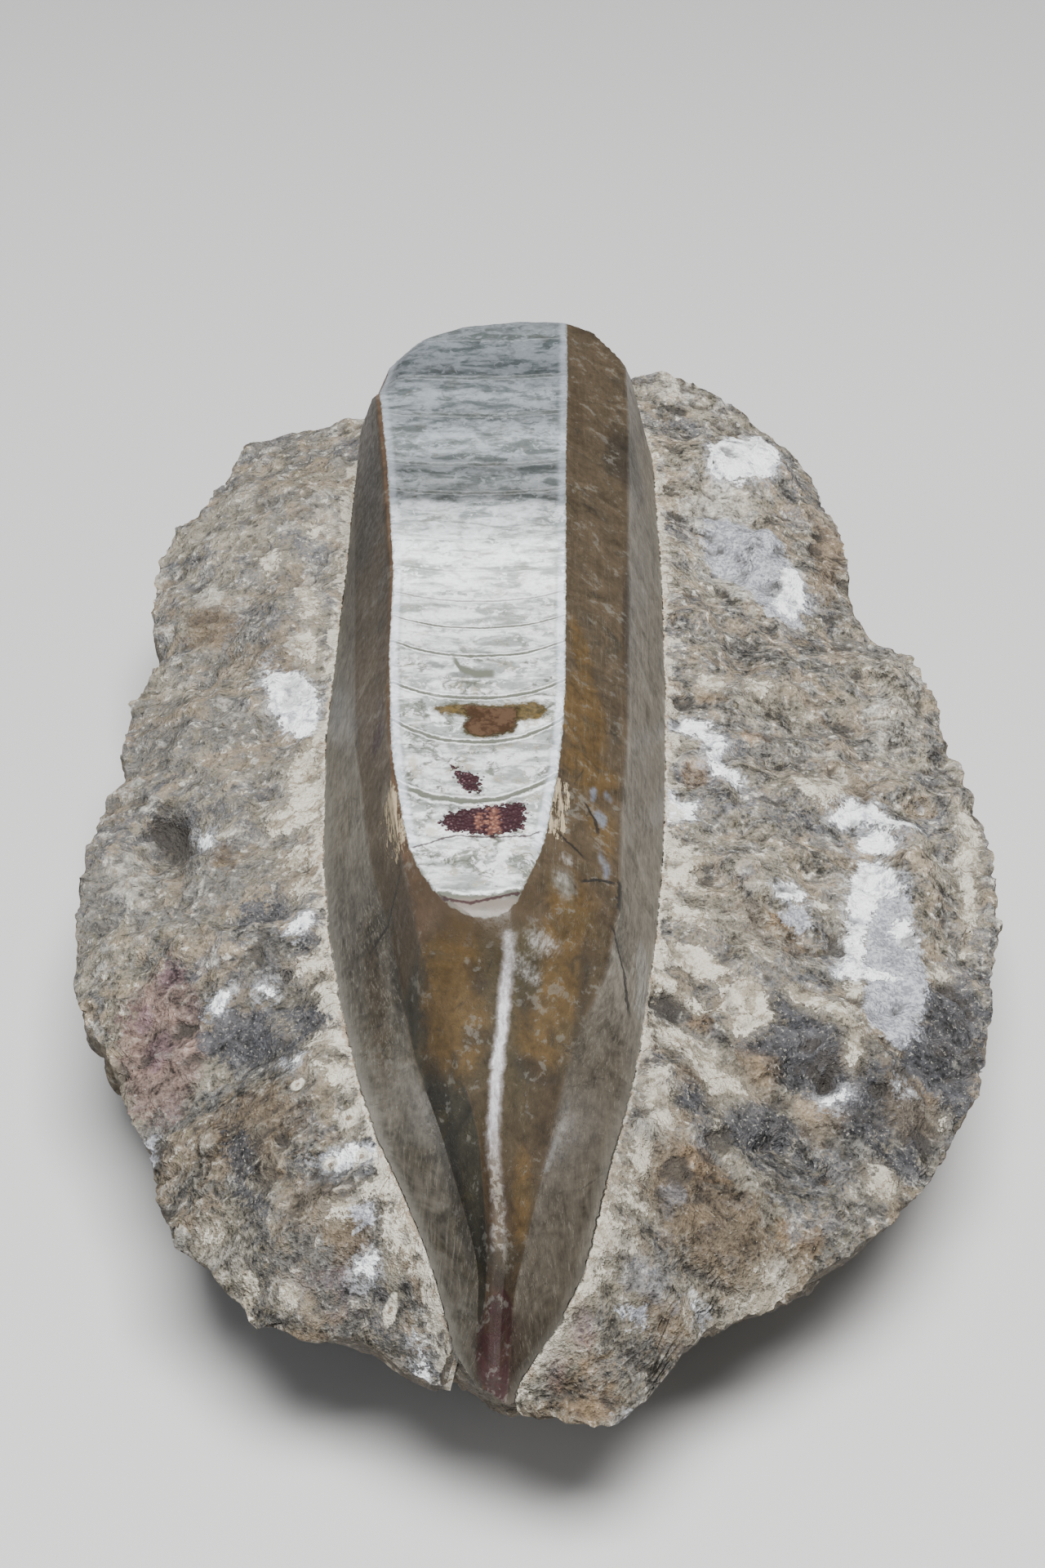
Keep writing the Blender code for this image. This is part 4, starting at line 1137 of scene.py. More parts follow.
class ShaderTree:
    """The node tree of one material."""

    def __init__(self, name: str) -> None:
        """Starts a material of that name with only its shader and its output."""
        self.material = bpy.data.materials.new(name)
        self.material.use_nodes = True
        self.nodes = self.material.node_tree.nodes
        self.links = self.material.node_tree.links
        self.shader = self.nodes["Principled BSDF"]
        self.place = self.node(
            "ShaderNodeVectorMath", {"operation": "SCALE"},
            {0: self.node("ShaderNodeTexCoord", output="Object"), "Scale": 1 / MM},
        )

    def node(self, kind: str, settings: Optional[dict] = None, inputs: Optional[dict] = None,
             output: Union[int, str] = 0) -> Wire:
        """Adds a node.

        Args:
            kind: The node's type.
            settings: Its settings, which are set before its inputs. A ramp's are its stops.
            inputs: Values or wires for its sockets, by name or number.
            output: Which output to return.

        Returns:
            That output as a wire.
        """
        node = self.nodes.new(kind)
        for name, value in (settings or {}).items():
            if name == "stops":
                self.set_stops(node.color_ramp, value)
            else:
                setattr(node, name, value)
        for name, value in (inputs or {}).items():
            self.feed(node.inputs[name], value)
        return Wire(self, node.outputs[output])

    def feed(self, socket: bpy.types.NodeSocket, value: Operand) -> None:
        """Links a wire to a socket, or sets the socket's own value."""
        if isinstance(value, Wire):
            self.links.new(value.socket, socket)
        elif socket.type == "RGBA":
            socket.default_value = (*value, 1.0)
        else:
            socket.default_value = value

    @staticmethod
    def set_stops(ramp: bpy.types.ColorRamp, stops: Sequence[tuple[float, Colour]]) -> None:
        """Gives a ramp its places and colours."""
        for place, _ in stops[1:-1]:
            ramp.elements.new(place)
        for element, (place, colour) in zip(ramp.elements, stops):
            element.position = place
            element.color = (*colour, 1.0)

    def calculate(self, operation: str, *operands: Operand) -> Wire:
        """Adds the node for one arithmetic step.

        Args:
            operation: What to do.
            operands: Numbers, colours or wires.

        Returns:
            The result.
        """
        numbers = [isinstance(v, (int, float)) or getattr(v, "is_number", False) for v in operands]
        if all(numbers):
            return self.node("ShaderNodeMath", {"operation": operation},
                             dict(enumerate(operands)))
        if operation == "MULTIPLY" and any(numbers):
            scale, vector = operands if numbers[0] else operands[::-1]
            return self.node("ShaderNodeVectorMath", {"operation": "SCALE"},
                             {0: vector, "Scale": scale})
        return self.node("ShaderNodeVectorMath", {"operation": operation},
                         dict(enumerate(operands)))

    def range(self, value: Wire, low: float, high: float, start: float, end: float) -> Wire:
        """Value taken from start to end, eased, as it goes from low to high."""
        return self.node(
            "ShaderNodeMapRange", {"interpolation_type": "SMOOTHSTEP"},
            {"Value": value, "From Min": low, "From Max": high, "To Min": start, "To Max": end},
        )

    def field(self, name: str) -> Wire:
        """One of the mesh's fields."""
        return self.node("ShaderNodeAttribute", {"attribute_name": name}, output="Fac")

    def noise(self, size: float, detail: float = 3.0, rough: float = 0.55, swirl: float = 0.0,
              place: Optional[Wire] = None, output: Union[int, str] = 0) -> Wire:
        """Cloudy noise from 0 to 1.

        Args:
            size: Size of its forms in millimetres.
            detail: How many finer layers it has.
            rough: Strength of the finer layers.
            swirl: How much it is stirred.
            place: Where it is taken, or None for the point itself.
            output: Which output of the node to return.

        Returns:
            The noise.
        """
        return self.node("ShaderNodeTexNoise", {}, {
            "Vector": place or self.place, "Scale": 1 / size, "Detail": detail,
            "Roughness": rough, "Distortion": swirl,
        }, output)

    def clouds(self, size: float, detail: float = 3.0, rough: float = 0.55,
               swirl: float = 0.0) -> "Clouds":
        """Three cloudy noises of one size that don't follow each other, made as by noise."""
        colour = self.noise(size, detail, rough, swirl, output="Color")
        split = self.node("ShaderNodeSeparateColor", {}, {0: colour}).socket.node
        return Clouds(*(Wire(self, socket) for socket in split.outputs))

    def distance(self, spot: tuple[float, float]) -> Wire:
        """Distance in the plan to a spot, in millimetres."""
        flat = self.place * (1.0, 1.0, 0.0)
        return self.node("ShaderNodeVectorMath", {"operation": "DISTANCE"},
                         {0: flat, 1: (*spot, 0.0)}, "Value")

    @cached_property
    def x(self) -> Wire:
        """Place across the stone in millimetres."""
        return self.node("ShaderNodeSeparateXYZ", {}, {0: self.place}, 0)

    @cached_property
    def y(self) -> Wire:
        """Place along the stone in millimetres."""
        return self.node("ShaderNodeSeparateXYZ", {}, {0: self.place}, 1)

    def patch(self, name: str, uneven: Wire, low: float, high: float) -> Wire:
        """Where one of the mesh's fields rises from low to high, with an uneven edge."""
        return (self.field(name) + uneven).rise(low, high)

    def cells(self, size: float, feature: str = "F1", output: str = "Distance",
              place: Optional[Wire] = None) -> Wire:
        """A cell pattern: its distance, from 0 to about 1, or a colour for each cell."""
        return self.node(
            "ShaderNodeTexVoronoi", {"feature": feature},
            {"Vector": place or self.place, "Scale": 1 / size}, output,
        )

    def mix(self, share: Operand, first: Operand, second: Operand) -> Wire:
        """Colour between two colours."""
        return self.node("ShaderNodeMix", {"data_type": "RGBA"},
                         {0: share, 6: first, 7: second}, 2)

    def blend(self, share: Operand, first: Operand, second: Operand) -> Wire:
        """Number between two numbers."""
        return self.node("ShaderNodeMix", {"data_type": "FLOAT"},
                         {0: share, 2: first, 3: second}, 0)

    def ramp(self, value: Wire, stops: Sequence[tuple[float, Colour]]) -> Wire:
        """Colour looked up along a ramp."""
        return self.node("ShaderNodeValToRGB", {"stops": stops}, {"Fac": value})

    def along(self, value: Wire, points: Sequence[tuple[float, Colour]]) -> Wire:
        """Colour looked up among points of place and colour, which are in rising order."""
        start, end = points[0][0], points[-1][0]
        share = self.node(
            "ShaderNodeMapRange", {}, {"Value": value, "From Min": start, "From Max": end})
        return self.ramp(share, [((a - start) / (end - start), tint) for a, tint in points])

    def layers(self, base: Wire, *coats: tuple[Operand, Operand]) -> Wire:
        """Colour with further coats over it.

        Args:
            base: The colour at the bottom.
            coats: How much each coat covers and its colour, from the lowest to the top one.

        Returns:
            The colour of them all.
        """
        for share, tint in coats:
            base = self.mix(share, base, tint)
        return base

    def washed(self, base: Wire, uneven: Wire, edge: tuple[float, float],
               washes: Sequence[tuple[Patch, Colour, float]]) -> Wire:
        """Colour with the stone's patches of tint over it.

        Args:
            base: The colour at the bottom.
            uneven: Noise that makes the patches' edges uneven.
            edge: Strength at which a patch begins, and that at which it is full.
            washes: The patches, their colours and how much they cover.

        Returns:
            The colour of them all.
        """
        return self.layers(base, *(
            (self.patch(patch.value, uneven, *edge) * strength, tint)
            for patch, tint, strength in washes))


@dataclass(frozen=True)
class Clouds:
    """Three noises of one size."""

    a: Wire
    b: Wire
    c: Wire


@dataclass(frozen=True)
class Look:
    """How a surface looks at each point."""

    colour: Wire
    roughness: Wire
    height: Wire

    def under(self, tree: ShaderTree, mask: Wire, other: "Look") -> "Look":
        """This look where mask is 0 and the other where it is 1.

        Args:
            tree: The material's tree.
            mask: Where the other look lies over this one.
            other: The look on top.

        Returns:
            The two together.
        """
        return Look(
            tree.mix(mask, self.colour, other.colour),
            tree.blend(mask, self.roughness, other.roughness),
            tree.blend(mask, self.height, other.height),
        )


@dataclass(frozen=True)
class Crack:
    """A thin line drawn on the surface from point to point."""

    points: tuple[tuple[float, float], ...]
    width: float = 0.16
    crossing: bool = True

    def mask(self, tree: ShaderTree, waver: Wire) -> Wire:
        """Where the line runs.

        Args:
            tree: The material's tree.
            waver: Noise about 0, in millimetres, which makes the line uneven.

        Returns:
            1 on the line and 0 off it.
        """
        run, off = (tree.x, tree.y) if self.crossing else (tree.y, tree.x)
        pairs = sorted(p if self.crossing else p[::-1] for p in self.points)
        start, end = pairs[0][0], pairs[-1][0]
        low, high = min(p[1] for p in pairs), max(p[1] for p in pairs) + 1e-3
        levels = tree.along(run, [(a, ((b - low) / (high - low),) * 3) for a, b in pairs])
        red = tree.node("ShaderNodeSeparateColor", {}, {0: levels})
        gap = abs(off - (red * (high - low) + low) + waver)
        ends = run.rise(start - 0.2, start + 0.6) * run.fall(end - 0.6, end + 0.2)
        return gap.fall(self.width * 0.4, self.width) * ends


@dataclass(frozen=True)
class RoughStone:
    """Broken limestone with its spar, crusts and stains."""

    grey: Colour = (0.150, 0.143, 0.130)
    beige: Colour = (0.228, 0.206, 0.164)
    tan: Colour = (0.195, 0.153, 0.106)
    slate: Colour = (0.105, 0.106, 0.114)
    olive: Colour = (0.135, 0.120, 0.078)
    pale: Colour = (0.43, 0.41, 0.355)
    brown: Colour = (0.120, 0.085, 0.052)
    white: Colour = (0.88, 0.89, 0.90)
    frost: Colour = (0.42, 0.435, 0.465)
    cream: Colour = (0.52, 0.485, 0.40)
    sand: Colour = (0.265, 0.232, 0.175)
    dark: Colour = (0.052, 0.051, 0.050)
    rust: Colour = (0.190, 0.112, 0.052)
    red: Colour = (0.165, 0.100, 0.092)
    purple: Colour = (0.115, 0.070, 0.085)
    blue: Colour = (0.265, 0.285, 0.335)
    # The near-black of the painted shade in hollows, pits and low grains.
    shaded_hollow: Colour = (0.035, 0.031, 0.027)
    side: Colour = (0.11, 0.090, 0.066)
    ochre: Colour = (0.178, 0.134, 0.088)
    shale: Colour = (0.062, 0.063, 0.070)
    calcite: Colour = (0.205, 0.212, 0.238)
    rings: tuple[tuple[float, float, float], ...] = (  # x, y, reach
        (-26.5, -61.8, 0.9), (-20.5, -68.3, 1.5), (-22.4, -73.2, 1.0), (-18.9, -73.9, 1.0),
        (-15.5, -88.2, 1.0),
    )

    def ground(self, tree: ShaderTree, blotch: Clouds, crumb: Clouds, grit: Clouds) -> Wire:
        """The mixed grain of the stone before its patches.

        Args:
            tree: The material's tree.
            blotch: Clouds of a few millimetres.
            crumb: Clouds of about a millimetre.
            grit: The finest clouds.

        Returns:
            The colour.
        """
        broad = tree.clouds(15.0, 3.0, 0.6, 0.6)
        return tree.layers(
            tree.mix((broad.a + blotch.b.sway(0.6)).rise(0.42, 0.58), self.grey, self.beige),
            ((broad.b + (blotch.c - 0.5)).rise(0.50, 0.64) * 0.8, self.tan),
            ((broad.c + (blotch.a - 0.5)).rise(0.52, 0.64) * 0.8, self.slate),
            (crumb.b.rise(0.53, 0.62) * 0.6, self.olive),
            (blotch.a.rise(0.58, 0.66) * 0.6, self.pale),
            (crumb.a.rise(0.585, 0.65) * 0.7, self.pale),
            (crumb.c.fall(0.36, 0.43) * 0.7, self.dark),
            ((grit.a + (crumb.c - 0.5)).rise(0.62, 0.68) * 0.5, self.tan),
        )

    def look(self, tree: ShaderTree) -> Look:
        """The rough stone's look in a material's tree.

        Args:
            tree: The material's tree.

        Returns:
            The look.
        """
        x, y, mix = tree.x, tree.y, tree.mix
        blotch = tree.clouds(3.8, 4.0, 0.66, 0.5)
        crumb = tree.clouds(1.25, 4.0, 0.68, 0.3)
        grit = tree.clouds(0.42, 2.0, 0.6)
        ragged = blotch.a.sway(1.5) + crumb.b.sway(1.7) + grit.b.sway(0.7)
        fray = blotch.a.sway(3.2) + crumb.b.sway(3.4) + grit.b.sway(2.0)
        nearest = x.rise(-2.0, 4.0) * y.fall(-66.0, -54.0)
        lively = 1.0 - x.fall(-24.0, -14.0) * y.rise(-44.0, -22.0) * 0.45

        # Stains, how bright the stone is from place to place, and painted light that makes the deck
        # darker at its front and brighter towards its back.
        colour = tree.washed(self.ground(tree, blotch, crumb, grit), ragged * 0.8, (0.25, 0.75), (
            (Patch.PALE, self.pale, 0.6), (Patch.BROWN, self.brown, 0.7),
            (Patch.RED, self.red, 0.65), (Patch.DARK, self.dark, 0.5),
            (Patch.PURPLE, self.purple, 0.6), (Patch.RUST, self.rust, 0.45),
            (Patch.BLUE, self.blue, 0.38)))
        slate = tree.patch("slate", fray * 1.8, -0.8, 0.6)
        colour = tree.layers(
            colour,
            (slate * (0.62 + blotch.b * 0.5), self.shale),
            (tree.patch("ochre", fray * 1.3, -0.9, 0.9) * 0.52, self.ochre),
        )
        shade = 0.74 + (blotch.c.sway(2.6) + crumb.a.sway(1.9) + grit.a.sway(1.4)) * lively
        # Painted light: the deck is made darker at its front and brighter towards its back.
        far = y.rise(-75.0, -18.0) * 0.34 + y.rise(-10.0, 60.0) * 0.12
        colour = colour * tree.calculate("MAXIMUM", shade, 0.14) * (0.83 + far)

        # Crusts, calcite and spar.
        sparkle = (grit.c + slate * 0.05).rise(0.66, 0.72)
        cracked = tree.cells(3.0, "DISTANCE_TO_EDGE",
                             place=tree.place + crumb.b.sway(3.5) + blotch.c.sway(5.0))
        crust_tint = tree.layers(
            mix((crumb.c + blotch.b.sway(1.6)).rise(0.34, 0.54), self.sand, self.cream),
            (cracked.fall(0.01, 0.045) * blotch.c.rise(0.44, 0.54) * 0.8, self.brown),
        )
        crust = tree.patch("crust", fray, -0.15, 0.25)
        spar = tree.patch("spar", fray * 0.9, -0.15, 0.25)
        calcite_tint = mix((crumb.c + (grit.b - 0.5)).rise(0.40, 0.62), self.calcite, self.frost)
        spar_tint = mix((crumb.c + (blotch.b - 0.5)).rise(0.32, 0.48), self.frost, self.white)
        colour = tree.layers(
            colour,
            (sparkle * 0.40, self.pale),
            (tree.patch("crust", fray * 1.6, -1.5, 0.2) * 0.35, self.sand),
            (crust * (0.9 - nearest * 0.30), crust_tint),
            (tree.patch("calcite", fray, -0.4, 0.4) * 0.9, calcite_tint),
            (tree.patch("spar", fray * 1.5, -1.1, 0.2) * 0.45, self.frost),
            (spar * 0.96, spar_tint),
        )
        for x0, y0, reach in self.rings:
            away = tree.distance((x0, y0)) + crumb.b.sway(1.1)
            colour = tree.layers(
                colour,
                (away.fall(reach * 0.7, reach) * 0.85, self.cream),
                (away.fall(reach * 0.15, reach * 0.32) * 0.8, self.brown),
            )

        # Painted shade in the hollows, pits and low grains, a painted highlight on the high grains,
        # and the crust along the foot of the ridge.
        relief = tree.field("relief") + crumb.a.sway(0.5)
        gap = tree.field("ridge")
        crumbled = (gap * 0.30 + blotch.b.sway(2.3) + crumb.b.sway(1.6)).rise(-0.45, -0.2)
        thin = (gap + crumb.a.sway(1.6) + blotch.a.sway(1.2)).rise(-0.45, -0.2)
        sparse = 1.0 - nearest * 0.92
        stained = mix((crumb.b + (blotch.a - 0.5)).rise(0.48, 0.62) * 0.7, self.cream, self.rust)
        colour = tree.layers(
            colour,
            # Painted shade in the low grains, the hollows and the pits, and a painted highlight on
            # the high grains.
            (relief.fall(-0.45, 0.0) * (0.78 * lively), self.shaded_hollow),
            (relief.rise(0.25, 0.70) * 0.28, self.pale),
            (tree.patch("shaded_hollow", ragged * 0.3, 0.25, 0.9) * 0.6, self.shaded_hollow),
            (tree.patch("pit", fray, -0.5, 0.5) * 0.8, self.shaded_hollow),
            (crumbled * gap.rise(-6.0, -1.0) * sparse * 0.75, crust_tint),
            (thin * (0.45 + sparse * 0.30), stained),
            (tree.field("side") * 0.45, self.side),
        )
        rough = 0.88 - spar * 0.3 - sparkle * 0.35
        height = blotch.c * 0.9 + crumb.a * 0.85 + grit.a * 0.4 + spar * 0.2 + crust * 0.15
        return Look(colour, rough, height)


@dataclass(frozen=True)
class PolishedStone:
    """The polished limestone on the ridge's flanks, which shows its lanes of colour."""

    outer_left: Colour = (0.104, 0.093, 0.075)
    inner_left: Colour = (0.060, 0.044, 0.027)
    bevel: Colour = (0.085, 0.054, 0.034)
    flank: Colour = (0.064, 0.047, 0.029)
    outer_right: Colour = (0.132, 0.117, 0.095)
    shade: Colour = (0.026, 0.025, 0.019)
    golden: Colour = (0.047, 0.038, 0.020)
    amber: Colour = (0.080, 0.049, 0.018)
    brown: Colour = (0.042, 0.029, 0.017)
    dark: Colour = (0.012, 0.011, 0.010)
    red: Colour = (0.026, 0.010, 0.011)
    grey: Colour = (0.14, 0.135, 0.118)
    # The colour of the painted glints by the cracks on the right flank.
    blue: Colour = (0.13, 0.145, 0.175)
    scratch: Colour = (0.21, 0.195, 0.165)
    straw: Colour = (0.36, 0.29, 0.19)
    chip: Colour = (0.40, 0.385, 0.36)
    # The keel's pale wear, together with its painted highlight.
    worn: Colour = (0.78, 0.76, 0.80)
    bead: Colour = (0.40, 0.35, 0.25)
    # The fading edge of the painted highlight on the keel.
    keel_sheen: Colour = (0.27, 0.25, 0.245)
    tail: Colour = (0.056, 0.045, 0.031)
    cracks: tuple[Crack, ...] = (
        Crack(((1.9, -40.6), (3.4, -41.4), (5.0, -42.6)), 0.32),
        Crack(((4.2, -46.6), (6.0, -45.4), (8.4, -44.2)), 0.32),
        Crack(((8.9, -43.5), (8.7, -46.0), (8.6, -48.0)), 0.34, False),
        Crack(((-18.9, -47.4), (-17.0, -46.4), (-15.3, -46.0)), 0.34),
        Crack(((7.6, -50.0), (9.2, -52.6), (9.6, -56.0)), 0.26, False),
        Crack(((5.0, -33.0), (6.2, -35.4), (6.6, -37.6)), 0.34, False),
    )
    keel: Crack = Crack(((-3.4, -56.6), (-3.6, -58.6), (-3.9, -61.0), (-4.2, -64.0),
                         (-4.8, -68.3), (-5.1, -72.8), (-5.0, -76.0), (-4.8, -78.4),
                         (-4.5, -81.0), (-4.4, -85.0)), 1.0, False)

    def lanes(self) -> list[tuple[float, Colour]]:
        """Colours across the ridge, changing at its creases."""
        tints = (self.outer_left, self.inner_left, self.bevel, self.bevel,
                 self.flank, self.flank, self.outer_right)
        crisp, stops = 0.04, []
        for k, tint in enumerate(tints):
            stops += [((k + 1 + crisp) / 9, tint), ((k + 2 - crisp) / 9, tint)]
        return stops

    def look(self, tree: ShaderTree) -> Look:
        """The polished stone's look in a material's tree.

        Args:
            tree: The material's tree.

        Returns:
            The look.
        """
        y, lane = tree.y, tree.field("lane")
        mottle = tree.clouds(4.6, 5.0, 0.62, 0.9)
        fleck = tree.clouds(0.95, 4.0, 0.64, 0.4)
        fibre = tree.noise(0.9, 4.0, 0.66, 0.3, tree.place * (1.9, 0.16, 1.9))
        hair = tree.noise(0.33, 2.0, 0.6, place=tree.place * (1.9, 0.09, 1.9))
        ragged = mottle.a.sway(1.3) + fleck.a.sway(0.8)

        # The lanes, the nose and the stone's own patches.
        nose = y.fall(-56.6, -54.2)
        golden = tree.mix(y.fall(-82.0, -63.0), self.golden, self.brown)
        fold = (lane + ragged * 0.35).rise(6.15, 6.55) * lane.fall(6.95, 7.05)
        colour = tree.layers(
            tree.ramp(lane * (1 / 9), self.lanes()),
            (lane.rise(1.97, 2.05) * lane.fall(2.95, 3.03) * nose * 0.9, self.shade),
            (lane.rise(2.97, 3.05) * nose * lane.fall(6.9, 7.0) * 0.85, golden),
            (fold * y.fall(-50.0, -38.0) * 0.55, self.brown),
        )
        colour = tree.layers(
            tree.washed(colour, ragged * 0.7, (0.2, 0.85), (
                (Patch.BROWN, self.brown, 0.7), (Patch.AMBER, self.amber, 0.8),
                (Patch.DARK, self.dark, 0.6), (Patch.RED, self.red, 0.9),
                # Blue on the ridge is painted bluish glints by the cracks on the right flank.
                (Patch.PALE, self.grey, 0.75), (Patch.BLUE, self.blue, 0.8))),
            (mottle.b.rise(0.52, 0.64) * 0.40, self.golden),
            (mottle.c.rise(0.54, 0.66) * 0.45, self.shade),
            ((fleck.b + (mottle.a - 0.5)).rise(0.60, 0.70) * 0.35, self.grey),
        )

        # Darker stretches and the brightness of the grain.
        on_left, on_right = lane.fall(1.95, 2.05), lane.rise(6.95, 7.05)
        outer = on_left + on_right
        colour = colour * (1.0 - on_left * y.fall(-46.0, -28.0) * y.rise(-76.0, -64.0) * 0.40)
        colour = colour * (1.0 - on_left * y.fall(-74.0, -64.0) * 0.46)
        low = (y + ragged * 4.0).fall(-64.0, -54.0)
        colour = tree.mix((lane + ragged * 0.3).rise(6.75, 7.25) * low * 0.78, colour, self.tail)
        colour = colour * (1.0 - on_right * low * 0.30)
        colour = colour * (1.0 - lane.fall(2.9, 3.1) * y.rise(-8.0, 14.0) * 0.42)
        colour = colour * (0.8 + mottle.a.sway(1.3) + fleck.c.sway(0.8)
                           + (fibre - 0.5) * (0.5 + outer * 0.9))

        # Scratches, cracks, chips and the brown brow round the front of the shell.
        fine = (hair + fibre.sway(0.7) + mottle.b.sway(0.4)).rise(0.585, 0.68)
        worn = (0.07 + outer * 0.20) * (1.0 - y.rise(0.0, 30.0) * 0.6)
        waver = fleck.a.sway(1.0)
        vein = tree.cells(11.0, "DISTANCE_TO_EDGE", place=tree.place + mottle.a.sway(9.0))
        chips = (tree.field("splinter") + fleck.a.sway(3.0) + fibre.sway(5.0)).rise(-0.15, 0.35)
        flakes = (tree.field("flake") + fleck.a.sway(2.2) + fibre.sway(1.2)).rise(-0.7, 0.8)
        flakes = flakes * (0.30 + fibre.rise(0.38, 0.60) * 0.70)
        brow = tree.field("band") + mottle.b.sway(3.0) + fleck.b.sway(2.0)
        colour = tree.layers(
            colour,
            (fine * (worn * (1.0 - y.fall(-62.0, -46.0) * 0.65)), self.scratch),
            *((crack.mask(tree, waver) * 0.85, self.dark) for crack in self.cracks),
            (vein.fall(0.003, 0.014) * mottle.b.rise(0.48, 0.6) * 0.5, self.dark),
            (chips * (0.30 + fibre.rise(0.40, 0.60) * 0.50), self.straw),
            (flakes * (0.15 + fleck.c * 0.6), self.chip),
            (brow.rise(-2.6, -0.6) * y.fall(-52.0, -48.0) * 0.7, self.brown),
        )

        # The keel, pale where worn and painted with a highlight that breaks up into beads near the
        # tip, and a painted highlight along the inside of the ridge's foot.
        uneven = fleck.a.sway(0.9) + mottle.c.sway(0.8)
        fading = 1.0 - y.fall(-77.0, -65.0) * 0.55
        beads = (y * -1.0).rise(73.0, 79.0)
        bead = beads * (fleck.b + (fleck.a - 0.5)).fall(0.44, 0.56)
        # Painted highlight on the keel, over its pale wear, fading and breaking into beads towards
        # the tip.
        glow = self.keel.mask(tree, uneven) * (0.25 + y.fall(-63.0, -57.5) * 0.38) * fading
        worn_highlight = replace(self.keel, width=0.60).mask(tree, uneven)
        worn_highlight = worn_highlight * (0.20 + y.fall(-62.0, -58.5) * 0.42) * (0.66 + fibre.sway(2.8)) * fading
        # Painted highlight along the inside of the ridge's foot, stronger on the left towards the
        # front.
        edge = (tree.field("ridge") + fleck.a.sway(1.6)).fall(0.1, 1.6)
        colour = tree.layers(
            colour,
            (glow * (1.0 - bead * 0.8), self.keel_sheen),
            (worn_highlight * (1.0 - bead * 0.8), tree.mix(beads, self.worn, self.bead)),
            (edge * (0.22 + on_left * y.fall(-20.0, -5.0) * 0.22), self.grey),
        )
        rough = 0.50 + fleck.a.sway(0.6) + fine * 0.15 + chips * 0.3 + flakes * 0.2
        height = mottle.a * 0.06 + fibre * 0.05 - fine * 0.03 - chips * 0.12 + flakes * 0.08
        return Look(colour, rough, height)


